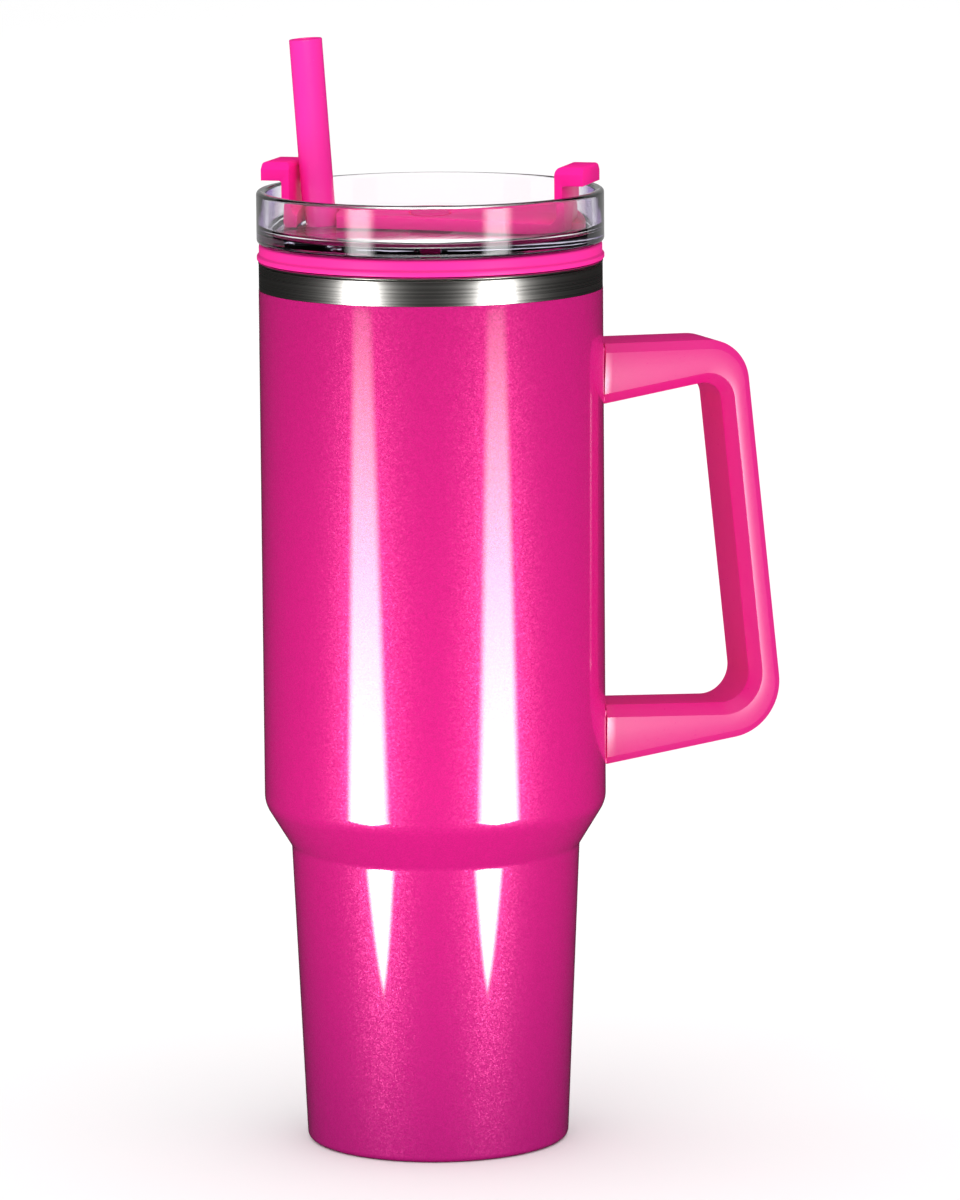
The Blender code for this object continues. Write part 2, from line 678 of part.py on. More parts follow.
def make_lid(look):
    """Rim, floor and plug wall in one clear moulding."""
    plug_in = PLUG_RADIUS - PLUG_WALL
    corners = [
        (0, FLOOR_BOTTOM_Z, 0),
        (plug_in, FLOOR_BOTTOM_Z, 0),
        (plug_in, PLUG_BOTTOM_Z, 0),
        (PLUG_RADIUS + PLUG_LIP, PLUG_BOTTOM_Z, 0.3),
        (PLUG_RADIUS + PLUG_LIP, PLUG_LIP_Z, 0),
        (PLUG_RADIUS, PLUG_LIP_Z, 0),
        (PLUG_RADIUS, LID_BOTTOM_Z, 0),
        (LID_RADIUS, LID_BOTTOM_Z, 0.4),
        (LID_RADIUS, RIM_Z, 0.7),
        (RECESS_RADIUS, RIM_Z, 0.7),
        (RECESS_RADIUS, FLOOR_TOP_Z, 2.5),
        (0, FLOOR_TOP_Z, 0),
    ]
    lid = place("lid_body", turned(rounded(corners, 2)), look)
    reach = 3 * FLOOR_THICKNESS
    low = FLOOR_BOTTOM_Z - reach
    high = FLOOR_TOP_Z + reach
    hole_radius = STRAW_RADIUS + STRAW_CLEARANCE + GROMMET_WALL + GAP
    straw_hole = shifted(rod(hole_radius, low, high, 32), (*grommet_centre(), 0))
    combine(lid, "DIFFERENCE", "lid_straw_hole_cutter", straw_hole)
    combine(lid, "DIFFERENCE", "lid_sip_cutter", spun(extruded(sip_outline(), low, high), SIP_ANGLE))
    combine(lid, "DIFFERENCE", "lid_pivot_cutter", rod(PIVOT_RADIUS + GAP, low, high))
    vent = shifted(rod(VENT_RADIUS, low, high, 12), (*polar(VENT_FROM_AXIS, VENT_ANGLE), 0))
    combine(lid, "DIFFERENCE", "lid_vent_cutter", vent)
    return settle(lid)


# Turning cover


def plate_outline():
    """The half-disc behind the bar, with the bar along X, reaching under the bar to its middle."""
    points = []
    steps = 36
    for step in range(steps + 1):
        points.append(polar(COVER_RADIUS, 180 * step / steps))
    return points


def bar_outline():
    """The bar with an ear and a hook at each end, seen along its width, as (x, z)."""
    bar_top = COVER_TOP_Z + BAR_RAISE
    outer = EAR_INNER + EAR_THICKNESS
    under = RIM_Z + HOOK_OVER_RIM
    top = under + HOOK_HEIGHT
    right_side = [
        (outer, COVER_BOTTOM_Z, 1.5),
        (outer, under, 0.8),
        (HOOK_REACH, under, 0),
        (HOOK_REACH, top, 0.8),
        (EAR_INNER, top, 1.6),
        (EAR_INNER, bar_top, 2.5),
    ]
    left_side = [(-u, v, fillet) for u, v, fillet in reversed(right_side)]
    return rounded(right_side + left_side, 3)


def make_bar():
    """The bar and its ears, the hooks' long upper edges chamfered."""
    made = extruded(bar_outline(), -BAR_WIDTH / 2, BAR_WIDTH / 2, axis="Y")
    top = RIM_Z + HOOK_OVER_RIM + HOOK_HEIGHT
    edges = []
    for edge in made.edges:
        ends = [vert.co for vert in edge.verts]
        flat = abs(ends[0].y - ends[1].y) < 1e-6
        if flat and min(end.z for end in ends) > top - 1e-4:
            edges.append(edge)
    bmesh.ops.bevel(made, geom=edges, offset=HOOK_CHAMFER, segments=1, affect="EDGES", profile=0.5)
    return made


def notch_outline():
    """The curved channel that the straw leaves through, from its seat past the bar's front edge."""
    seat = straw_at(COVER_TOP_Z)
    radius = math.hypot(seat.x, seat.y)
    start = math.degrees(math.atan2(seat.y, seat.x))
    half = STRAW_RADIUS + STRAW_CLEARANCE + NOTCH_MARGIN
    end = start + math.degrees(math.asin((BAR_WIDTH / 2 + half) / radius)) + NOTCH_RUN_OUT
    points = []
    steps = 12
    for step in range(steps + 1):
        points.append(polar(radius + half, start + (end - start) * step / steps))
    for step in range(steps + 1):
        points.append(polar(radius - half, end + (start - end) * step / steps))
    centre = Vector(polar(radius, start))
    for step in range(1, 12):
        x, y = polar(half, start - 180 + 15 * step)
        points.append((centre.x + x, centre.y + y))
    return points


def make_cover(look):
    """The turning cover: half-disc, bar and hooked ears, with a notch, and seats for pad and pin."""
    cover = place("cover", make_bar(), look)
    plate = extruded(plate_outline(), COVER_BOTTOM_Z, COVER_TOP_Z)
    combine(cover, "UNION", "cover_plate", plate)
    settle(cover)
    cover.data.transform(Matrix.Rotation(math.radians(BAR_ANGLE - 180), 4, "Z"))
    high = COVER_TOP_Z + 3
    notch = extruded(notch_outline(), COVER_BOTTOM_Z - 2, high)
    combine(cover, "DIFFERENCE", "cover_notch_cutter", notch)
    pocket_top = COVER_BOTTOM_Z + SIP_PAD_THICKNESS + GAP
    pocket = extruded(sip_outline(SIP_PAD_MARGIN + GAP), COVER_BOTTOM_Z - 2, pocket_top)
    combine(cover, "DIFFERENCE", "cover_pad_cutter", spun(pocket, SIP_ANGLE))
    combine(cover, "DIFFERENCE", "cover_pivot_cutter", rod(PIVOT_RADIUS + GAP, COVER_BOTTOM_Z - 2, high))
    sink = rod(PIVOT_HEAD_RADIUS + GAP, COVER_TOP_Z + BAR_RAISE - PIVOT_HEAD_HEIGHT, high)
    combine(cover, "DIFFERENCE", "cover_pivot_head_cutter", sink)
    return settle(cover)


def make_sip_pad(look):
    made = extruded(sip_outline(SIP_PAD_MARGIN), COVER_BOTTOM_Z, COVER_BOTTOM_Z + SIP_PAD_THICKNESS)
    return place("sip_pad", spun(made, SIP_ANGLE), look)


def make_pivot(look):
    """The pin that holds the cover: a low head on the bar, and a foot that the clip snaps over."""
    head_under = COVER_TOP_Z + BAR_RAISE - PIVOT_HEAD_HEIGHT + GAP
    seal_low = FLOOR_BOTTOM_Z - GAP - PIVOT_SEAL_THICKNESS
    clip_high = seal_low - GAP
    clip_low = clip_high - CLIP_THICKNESS
    foot_high = clip_low - GAP
    corners = [
        (0, foot_high - PIVOT_FOOT, 0),
        (PIVOT_FOOT_RADIUS, foot_high - PIVOT_FOOT, 0.5),
        (PIVOT_FOOT_RADIUS, foot_high, 0),
        (PIVOT_RADIUS, foot_high, 0),
        (PIVOT_RADIUS, head_under, 0),
        (PIVOT_HEAD_RADIUS, head_under, 0),
        (PIVOT_HEAD_RADIUS, head_under + PIVOT_HEAD_HEIGHT, 0.5),
        (0, head_under + PIVOT_HEAD_HEIGHT, 0),
    ]
    return place("pivot_pin", turned(rounded(corners, 2), SMALL_TURN), look)


def make_pivot_seal(look):
    high = FLOOR_BOTTOM_Z - GAP
    low = high - PIVOT_SEAL_THICKNESS
    inner = PIVOT_RADIUS + GAP
    corners = [
        (inner, low, 0.4),
        (PIVOT_SEAL_RADIUS, low, 0.4),
        (PIVOT_SEAL_RADIUS, high, 0.4),
        (inner, high, 0.4),
    ]
    return place("pivot_seal", turned(rounded(corners, 2), SMALL_TURN), look)


def make_pivot_clip(look):
    """The split ring that snaps over the pin under the lid's floor."""
    high = FLOOR_BOTTOM_Z - GAP - PIVOT_SEAL_THICKNESS - GAP
    clip = place("pivot_clip", tube(CLIP_RADIUS, PIVOT_RADIUS + GAP, high - CLIP_THICKNESS, high), look)
    slot = box((0, -1.0, high - 3), (CLIP_RADIUS + 1, 1.0, high + 1))
    combine(clip, "DIFFERENCE", "pivot_clip_slot_cutter", slot)
    return settle(clip)


def main():
    clear_scene()
    paint = material("body_paint", (0.73, 0.013, 0.22), 0.3, 0.2)
    steel = material("steel", (0.62, 0.61, 0.60), 0.28, 1.0)
    moulding = material("handle_plastic", (0.90, 0.06, 0.33), 0.3)
    clear = material("clear_plastic", (0.80, 0.78, 0.88), 0.05, 0.0, 0.35)
    cover_look = material("cover_plastic", (0.85, 0.02, 0.30), 0.25)
    silicone = material("seal_silicone", (0.90, 0.015, 0.32), 0.45)
    soft = material("clear_silicone", (0.75, 0.75, 0.75), 0.5)
    straw_look = material("straw_plastic", (0.90, 0.03, 0.38), 0.25)
    glass_frit = material("solder_glass", (0.10, 0.10, 0.11), 0.3)

    make_outer_shell(paint)
    make_inner_liner(steel)
    make_shell_bottom(steel)
    make_vacuum_plug(glass_frit)
    make_getter(steel)
    make_base_cover(steel)
    for name, levels in arm_levels().items():
        make_bracket(name, levels, steel)
        make_screw(name, levels, steel)
        make_pad(name, levels, silicone)
    make_handle(moulding)
    make_lid_seal(silicone)
    make_lid(clear)
    make_straw_grommet(soft)
    make_cover(cover_look)
    make_sip_pad(soft)
    make_pivot(cover_look)
    make_pivot_seal(soft)
    make_pivot_clip(steel)
    make_straw(straw_look)


main()
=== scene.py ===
"""The tumbler's looks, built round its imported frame: painted vacuum cup, moulded handle, clear lid with
its turning cover, and straw. All lengths are in metres, so a size in millimetres is multiplied by MM.
"""

import json
import math

import bmesh
import bpy
import numpy as np
from mathutils import Matrix, Vector


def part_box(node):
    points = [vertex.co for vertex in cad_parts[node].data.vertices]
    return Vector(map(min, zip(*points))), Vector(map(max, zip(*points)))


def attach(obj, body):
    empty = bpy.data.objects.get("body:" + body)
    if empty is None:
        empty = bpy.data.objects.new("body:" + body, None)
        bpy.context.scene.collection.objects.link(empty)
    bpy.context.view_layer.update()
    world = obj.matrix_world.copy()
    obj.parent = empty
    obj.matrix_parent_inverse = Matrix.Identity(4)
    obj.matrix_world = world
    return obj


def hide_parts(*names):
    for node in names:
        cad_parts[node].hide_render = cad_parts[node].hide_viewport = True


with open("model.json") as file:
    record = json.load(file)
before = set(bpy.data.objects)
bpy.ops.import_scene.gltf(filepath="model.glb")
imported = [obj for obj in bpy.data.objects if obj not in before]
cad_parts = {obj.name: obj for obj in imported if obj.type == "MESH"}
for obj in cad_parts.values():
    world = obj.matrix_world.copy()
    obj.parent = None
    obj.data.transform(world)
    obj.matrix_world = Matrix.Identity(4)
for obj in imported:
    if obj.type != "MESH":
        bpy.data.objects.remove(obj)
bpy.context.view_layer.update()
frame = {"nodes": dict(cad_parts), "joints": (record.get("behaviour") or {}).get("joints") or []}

MM = 0.001
GAP = 0.3 * MM

# Places read from the frame
SHELL_LOW, SHELL_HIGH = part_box("outer_shell")
LINER_LOW, LINER_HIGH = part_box("inner_liner")
RING_LOW, RING_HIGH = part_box("lid_seal")
LID_LOW, LID_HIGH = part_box("lid_body")
COVER_LOW, COVER_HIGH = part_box("cover")
HANDLE_LOW, HANDLE_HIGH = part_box("handle")
GROMMET_LOW, GROMMET_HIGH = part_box("straw_grommet")
PIN_LOW, PIN_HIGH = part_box("pivot_pin")

BODY_RADIUS = SHELL_HIGH.x
MOUTH_Z = LINER_HIGH.z
LID_RADIUS = LID_HIGH.x
RIM_Z = LID_HIGH.z
FLOOR_TOP = COVER_LOW.z - GAP
FLOOR_UNDER = FLOOR_TOP - 2.0 * MM
RECESS_RADIUS = LID_RADIUS - 2.9 * MM
MOUTH_RADIUS = BODY_RADIUS - 4.5 * MM
COLLAR_INNER = MOUTH_RADIUS - 2.6 * MM
PLUG_RADIUS = COLLAR_INNER - GAP
COVER_UNDER = COVER_LOW.z
COVER_TOP = COVER_UNDER + 2.4 * MM
BAR_TOP = COVER_TOP + 0.4 * MM
PAINT_TOP = MOUTH_Z - 8.05 * MM
BAR_ANGLE = 145.0
SIP_ANGLE = 100.0

# The cup's wall: a foot that widens as it rises, a shoulder, and a straight body
FOOT_INSET = 11.5 * MM
FOOT_FLARE = 3.8 * MM
SHOULDER_LOW_Z = 86.8 * MM
SHOULDER_HIGH_Z = 99.4 * MM
SHOULDER_LOW_FILLET = 3.0 * MM
SHOULDER_HIGH_FILLET = 8.5 * MM
SHOULDER_RISE = 0.75  # how far an inner wall's shoulder rises for each unit that it lies inside
STEEL = 0.6 * MM
LINER_INSET = 3.9 * MM

# The turning cover
BAR_HALF_WIDTH = 10.0 * MM
HOOK_CUT = 2.0 * MM
PIN_HOLE_RADIUS = 3.3 * MM
PIN_HEAD_RADIUS = 6.0 * MM
PIN_HEAD_HEIGHT = 1.2 * MM

FINE_TURN = 256
STRAW_JOINT = next(joint for joint in frame["joints"] if joint["name"] == "straw_pull")
STRAW_AXIS = np.array(STRAW_JOINT["axis"]) / np.linalg.norm(STRAW_JOINT["axis"])


# Shapes


def smooth(mesh, angle=35.0):
    mesh.shade_smooth()
    mesh.set_sharp_from_angle(angle=math.radians(angle))


def grid_faces(rows, columns, wrap_rows, wrap_columns):
    """The quads of a rows by columns grid of points, numbered row by row, closed where told."""
    row = np.arange(rows if wrap_rows else rows - 1)
    column = np.arange(columns if wrap_columns else columns - 1)
    i, j = np.meshgrid(row, column, indexing="ij")
    k = (i + 1) % rows
    m = (j + 1) % columns
    quads = np.stack([i * columns + j, i * columns + m, k * columns + m, k * columns + j], axis=-1)
    return quads.reshape(-1, 4)


def mesh_object(name, points, quads):
    """An object at the origin from point and quad arrays; doubles merged, faces turned outwards."""
    mesh = bpy.data.meshes.new(name)
    mesh.vertices.add(len(points))
    mesh.vertices.foreach_set("co", np.asarray(points, np.float32).ravel())
    mesh.loops.add(quads.size)
    mesh.loops.foreach_set("vertex_index", quads.astype(np.int32).ravel())
    mesh.polygons.add(len(quads))
    mesh.polygons.foreach_set("loop_start", np.arange(0, quads.size, 4, dtype=np.int32))
    mesh.update(calc_edges=True)
    mended = bmesh.new()
    mended.from_mesh(mesh)
    bmesh.ops.remove_doubles(mended, verts=mended.verts, dist=1e-6)
    rims = [edge for edge in mended.edges if edge.is_boundary]
    bmesh.ops.holes_fill(mended, edges=rims, sides=0)
    bmesh.ops.recalc_face_normals(mended, faces=mended.faces)
    mended.to_mesh(mesh)
    mended.free()
    smooth(mesh)
    obj = bpy.data.objects.new(name, mesh)
    bpy.context.scene.collection.objects.link(obj)
    return obj


def fillet_arc(before, here, after, radius, turns):
    """Points on the arc that touches both sides of a corner: its start turned about its centre by each
    share in turns of the angle to its end. Returns them with the arc's two ends."""
    back = (before - here) / np.linalg.norm(before - here)
    ahead = (after - here) / np.linalg.norm(after - here)
    half = math.acos(float(np.clip(back @ ahead, -1, 1))) / 2
    centre = here + (back + ahead) / np.linalg.norm(back + ahead) * (radius / math.sin(half))
    first = here + back * (radius / math.tan(half))
    last = here + ahead * (radius / math.tan(half))
    a, b = first - centre, last - centre
    turn = turns * math.atan2(a[0] * b[1] - a[1] * b[0], float(a @ b))
    u = centre[0] + a[0] * np.cos(turn) - a[1] * np.sin(turn)
    v = centre[1] + a[0] * np.sin(turn) + a[1] * np.cos(turn)
    return np.stack([u, v], axis=1), first, last


def rounded(corners, steps=6):
    """A closed outline from rows of (u, v, fillet), with an arc in place of each corner that has one."""
    places = [np.array(corner[:2], float) for corner in corners]
    turns = np.linspace(0, 1, steps + 1)
    points = []
    for index, here in enumerate(places):
        radius = corners[index][2]
        if radius > 0:
            after = places[(index + 1) % len(places)]
            points.append(fillet_arc(places[index - 1], here, after, radius, turns)[0])
        else:
            points.append(here[None])
    return np.concatenate(points)


def turned(name, outline, steps=FINE_TURN, centre=(0.0, 0.0)):
    """A surface of revolution: each outline point (r, z) goes to (r cos t, r sin t, z) about an upright
    axis through centre, for t round the full circle. Points at r = 0 close it on the axis."""
    r, z = outline[:, 0], outline[:, 1]
    t = np.arange(steps) * (math.tau / steps)
    x = centre[0] + r[:, None] * np.cos(t)
    y = centre[1] + r[:, None] * np.sin(t)
    points = np.stack([x, y, np.broadcast_to(z[:, None], x.shape)], axis=-1).reshape(-1, 3)
    quads = grid_faces(len(r), steps, True, True)
    on_axis = (r < 1e-9) & (np.roll(r, -1) < 1e-9)
    keep = ~np.repeat(on_axis, steps)
    return mesh_object(name, points, quads[keep])


def prism(name, outline, low, high, along="Z"):
    """An outline carried straight from low to high. It is (x, y) along Z, and (x, z) along Y."""
    count = len(outline)
    if along == "Z":
        rows = [np.column_stack([outline, np.full(count, level)]) for level in (low, high)]
    else:
        across, up = outline[:, 0], outline[:, 1]
        rows = [np.column_stack([across, np.full(count, level), up]) for level in (low, high)]
    return mesh_object(name, np.concatenate(rows), grid_faces(2, count, False, True))


def shaped(obj, cutters, joins=(), bevel=0.0, bevel_segments=2, angle=35.0):
    """Joins and cuts an object with others, rounds its edges, and makes the result its mesh."""
    for operation, others in (("UNION", joins), ("DIFFERENCE", cutters)):
        for other in others:
            change = obj.modifiers.new("shape", "BOOLEAN")
            change.operation = operation
            change.object = other
            change.solver = "EXACT"
    if bevel:
        edge = obj.modifiers.new("edges", "BEVEL")
        edge.width = bevel
        edge.segments = bevel_segments
        edge.limit_method = "ANGLE"
        edge.angle_limit = math.radians(30)
        edge.use_clamp_overlap = True
        edge.miter_outer = "MITER_ARC"
    graph = bpy.context.evaluated_depsgraph_get()
    obj.update_tag()
    bpy.context.view_layer.update()
    made = bpy.data.meshes.new_from_object(obj.evaluated_get(graph))
    obj.modifiers.clear()
    obj.data = made
    smooth(made, angle)
    for other in [*cutters, *joins]:
        bpy.data.objects.remove(other)
    return obj


def on_cad(piece, look, body, slot, *nodes):
    """Gives a finished piece its material and its body, and hides the CAD nodes that it stands for. The
    slot is not used.
    """
    piece.data.materials.clear()
    piece.data.materials.append(look)
    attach(piece, body)
    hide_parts(*nodes)
    return piece


def polar(radius, degrees):
    return radius * math.cos(math.radians(degrees)), radius * math.sin(math.radians(degrees))


# Shader groups

SURFACE_OUTPUTS = (
    ("Color", "NodeSocketColor"),
    ("Roughness", "NodeSocketFloat"),
    ("Normal", "NodeSocketVector"),
)
LINES_PER_STRETCH = 260.0  # how much finer the brushed lines are up the axis than round it

def new_group(name, inputs, outputs):
    """An empty shader group with its sockets, as (group, its input node, its output node)."""
    group = bpy.data.node_groups.new(name, "ShaderNodeTree")
    for label, kind, value in inputs:
        socket = group.interface.new_socket(name=label, in_out="INPUT", socket_type=kind)
        socket.default_value = value
    for label, kind in outputs:
        group.interface.new_socket(name=label, in_out="OUTPUT", socket_type=kind)
    return group, group.nodes.new("NodeGroupInput"), group.nodes.new("NodeGroupOutput")


def object_place(tree):
    """The object's own coordinates."""
    return tree.nodes.new("ShaderNodeTexCoord").outputs["Object"]


def feed(tree, value, socket):
    """Links a socket to another, or sets it to a number."""
    if isinstance(value, bpy.types.NodeSocket):
        tree.links.new(value, socket)
    else:
        socket.default_value = value


def texture(tree, kind, scale):
    """A texture node of one scale on the object's own coordinates."""
    node = tree.nodes.new("ShaderNodeTex" + kind)
    node.inputs["Scale"].default_value = scale
    tree.links.new(object_place(tree), node.inputs["Vector"])
    return node


def scaled_noise(tree, scale_socket, detail, stretch=(1.0, 1.0, 1.0)):
    """Noise on a stretched copy of the object's own coordinates, its scale taken from a socket."""
    mapping = tree.nodes.new("ShaderNodeMapping")
    mapping.inputs["Scale"].default_value = stretch
    noise = tree.nodes.new("ShaderNodeTexNoise")
    noise.inputs["Detail"].default_value = detail
    tree.links.new(object_place(tree), mapping.inputs["Vector"])
    tree.links.new(mapping.outputs["Vector"], noise.inputs["Vector"])
    tree.links.new(scale_socket, noise.inputs["Scale"])
    return noise


def ranged(tree, value, low, high, start=0.0, end=1.0, interpolation="LINEAR"):
    """A value from start to end turned into one from low to high, and held there beyond both."""
    node = tree.nodes.new("ShaderNodeMapRange")
    node.interpolation_type = interpolation
    for label, number in (("From Min", start), ("From Max", end), ("To Min", low), ("To Max", high)):
        feed(tree, number, node.inputs[label])
    tree.links.new(value, node.inputs["Value"])
    return node.outputs["Result"]


def maths(tree, operation, first, second):
    """The output of a Math node on two sockets or numbers."""
    node = tree.nodes.new("ShaderNodeMath")
    node.operation = operation
    feed(tree, first, node.inputs[0])
    feed(tree, second, node.inputs[1])
    return node.outputs["Value"]


def relief(tree, height, strength, distance):
    """A normal raised and lowered by a height."""
    bump = tree.nodes.new("ShaderNodeBump")
    bump.inputs["Distance"].default_value = distance
    feed(tree, strength, bump.inputs["Strength"])
    tree.links.new(height, bump.inputs["Height"])
    return bump.outputs["Normal"]


def parts_of(tree, vector):
    """The X, Y and Z of a vector, as the outputs of one node."""
    node = tree.nodes.new("ShaderNodeSeparateXYZ")
    tree.links.new(vector, node.inputs["Vector"])
    return node.outputs


def mixed(tree, share, first, second):
    """Colour mix: first where share is 0, second where it is 1. Colours may be sockets or tuples."""
    node = tree.nodes.new("ShaderNodeMix")
    node.data_type = "RGBA"
    tree.links.new(share, node.inputs["Factor"])
    for socket, value in ((node.inputs["A"], first), (node.inputs["B"], second)):
        if isinstance(value, tuple):
            socket.default_value = (*value, 1.0)
        else:
            tree.links.new(value, socket)
    return node.outputs["Result"]


def make_moulded_group():
    """Moulded surface: slow clouds in its colour, fine mottle in its gloss, and a very shallow skin."""
    group, given, made = new_group(
        "moulded_surface",
        [
            ("Color", "NodeSocketColor", (0.8, 0.1, 0.4, 1.0)),
            ("Shade", "NodeSocketColor", (0.6, 0.05, 0.3, 1.0)),
            ("Cloud Scale", "NodeSocketFloat", 30.0),
            ("Skin Scale", "NodeSocketFloat", 1500.0),
            ("Gloss Low", "NodeSocketFloat", 0.2),
            ("Gloss High", "NodeSocketFloat", 0.3),
            ("Relief", "NodeSocketFloat", 0.02),
        ],
        SURFACE_OUTPUTS,
    )
    cloud = scaled_noise(group, given.outputs["Cloud Scale"], 2.0)
    skin = scaled_noise(group, given.outputs["Skin Scale"], 3.0)
    color = mixed(group, cloud.outputs["Fac"], given.outputs["Color"], given.outputs["Shade"])
    group.links.new(color, made.inputs["Color"])
    gloss = ranged(group, skin.outputs["Fac"], given.outputs["Gloss Low"], given.outputs["Gloss High"])
    group.links.new(gloss, made.inputs["Roughness"])
    normal = relief(group, skin.outputs["Fac"], given.outputs["Relief"], 0.1 * MM)
    group.links.new(normal, made.inputs["Normal"])
    return group


def make_brushed_group():
    """Turned and brushed metal: fine lines round the axis in brightness, gloss and relief."""
    group, given, made = new_group(
        "brushed_lines",
        [
            ("Bright", "NodeSocketColor", (0.75, 0.74, 0.73, 1.0)),
            ("Dark", "NodeSocketColor", (0.55, 0.54, 0.53, 1.0)),
            ("Line Scale", "NodeSocketFloat", 9.0),
            ("Relief", "NodeSocketFloat", 0.15),
        ],
        SURFACE_OUTPUTS,
    )
    lines = scaled_noise(group, given.outputs["Line Scale"], 4.0, (1.0, 1.0, LINES_PER_STRETCH))
    color = mixed(group, lines.outputs["Fac"], given.outputs["Dark"], given.outputs["Bright"])
    group.links.new(color, made.inputs["Color"])
    group.links.new(ranged(group, lines.outputs["Fac"], 0.2, 0.38), made.inputs["Roughness"])
    normal = relief(group, lines.outputs["Fac"], given.outputs["Relief"], 0.05 * MM)
    group.links.new(normal, made.inputs["Normal"])
    return group


def material(name, **values):
    """A material whose Principled shader has the given constants on its own sockets."""
    look = bpy.data.materials.new(name)
    look.use_nodes = True
    shader = look.node_tree.nodes["Principled BSDF"]
    for label, value in values.items():
        shader.inputs[label.replace("_", " ")].default_value = value
    return look, look.node_tree, shader


def placed_group(tree, group, shader, **values):
    """A group in a material, wired to its shader by the names of its outputs."""
    node = tree.nodes.new("ShaderNodeGroup")
    node.node_tree = group
    for label, value in values.items():
        node.inputs[label.replace("_", " ")].default_value = value
    tree.links.new(node.outputs["Color"], shader.inputs["Base Color"])
    tree.links.new(node.outputs["Roughness"], shader.inputs["Roughness"])
    tree.links.new(node.outputs["Normal"], shader.inputs["Normal"])
    return node


def moulded_plastic(name, color, shade, group_values, **values):
    look, tree, shader = material(name, **values)
    placed_group(tree, MOULDED, shader, Color=(*color, 1.0), Shade=(*shade, 1.0), **group_values)
    return look


FOOT_SHADE_HEIGHT = 0.11  # above this height the painted shade towards the foot ends
FLAKE_TILT = 0.09


def pearl_paint():
    """Pearl paint under a clear coat: flakes tilt the metallic layer and vary its colour, and the colour
    is darkened towards the foot as painted shade."""
    look, tree, shader = material(
        "pearl_paint",
        Metallic=0.30,
        Specular_IOR_Level=0.4,
        Coat_Weight=1.0,
        Coat_Roughness=0.05,
        Coat_IOR=1.75,
    )
    flakes = texture(tree, "Voronoi", 4200.0)
    sparks = texture(tree, "Voronoi", 3000.0)
    apart = tree.nodes.new("ShaderNodeSeparateColor")
    tree.links.new(flakes.outputs["Color"], apart.inputs["Color"])
    # Painted shade: the base colour is made darker towards the foot, where less light falls
    height = ranged(tree, parts_of(tree, object_place(tree))["Z"], 0.0, 1.0, 0.0, FOOT_SHADE_HEIGHT)
    base = mixed(tree, height, (0.41, 0.0035, 0.165), (0.64, 0.004, 0.212))
    fine = mixed(tree, apart.outputs["Red"], (0.88, 0.85, 0.88), (1.10, 1.2, 1.10))
    tinted = tree.nodes.new("ShaderNodeMix")
    tinted.data_type = "RGBA"
    tinted.blend_type = "MULTIPLY"
    tinted.inputs["Factor"].default_value = 1.0
    tree.links.new(base, tinted.inputs["A"])
    tree.links.new(fine, tinted.inputs["B"])
    tree.links.new(tinted.outputs["Result"], shader.inputs["Base Color"])
    tree.links.new(ranged(tree, apart.outputs["Green"], 0.30, 0.46), shader.inputs["Roughness"])
    tilt = tree.nodes.new("ShaderNodeVectorMath")
    tilt.operation = "MULTIPLY_ADD"
    tilt.inputs[1].default_value = (2 * FLAKE_TILT,) * 3
    tilt.inputs[2].default_value = (-FLAKE_TILT,) * 3
    tree.links.new(sparks.outputs["Color"], tilt.inputs[0])
    leaned = tree.nodes.new("ShaderNodeVectorMath")
    leaned.operation = "ADD"
    geometry = tree.nodes.new("ShaderNodeNewGeometry")
    tree.links.new(geometry.outputs["Normal"], leaned.inputs[0])
    tree.links.new(tilt.outputs["Vector"], leaned.inputs[1])
    unit = tree.nodes.new("ShaderNodeVectorMath")
    unit.operation = "NORMALIZE"
    tree.links.new(leaned.outputs["Vector"], unit.inputs[0])
    tree.links.new(unit.outputs["Vector"], shader.inputs["Normal"])
    return look


def clear_moulding():
    """Clear plastic with slow ripples left by the mould. Its upright walls are violet where they are seen
    at a slant."""
    look, tree, shader = material("clear_moulding", Metallic=0.0, Transmission_Weight=1.0, IOR=1.49)
    ripple = texture(tree, "Noise", 90.0).outputs["Fac"]
    tree.links.new(ranged(tree, ripple, 0.0, 0.05), shader.inputs["Roughness"])
    tree.links.new(relief(tree, ripple, 0.08, 0.4 * MM), shader.inputs["Normal"])
    slant = tree.nodes.new("ShaderNodeLayerWeight").outputs["Facing"]
    steep = ranged(tree, slant, 0.0, 1.0, 0.48, 0.74)
    normal = tree.nodes.new("ShaderNodeNewGeometry").outputs["Normal"]
    level = maths(tree, "ABSOLUTE", parts_of(tree, normal)["Z"], 0.0)
    on_walls = maths(tree, "MULTIPLY", steep, maths(tree, "LESS_THAN", level, 0.5))
    edge = mixed(tree, on_walls, (0.98, 0.975, 0.99), (0.13, 0.06, 0.24))
    tree.links.new(edge, shader.inputs["Base Color"])
    tint = tree.nodes.new("ShaderNodeVolumeAbsorption")
    tint.inputs["Color"].default_value = (0.62, 0.52, 0.90, 1.0)
    tint.inputs["Density"].default_value = 6.0
    tree.links.new(tint.outputs["Volume"], tree.nodes["Material Output"].inputs["Volume"])
    return look


def brushed_steel(name, bright, dark, line_scale=9.0):
    look, tree, shader = material(name, Metallic=1.0)
    placed_group(tree, BRUSHED, shader, Bright=(*bright, 1.0), Dark=(*dark, 1.0), Line_Scale=line_scale)
    return look


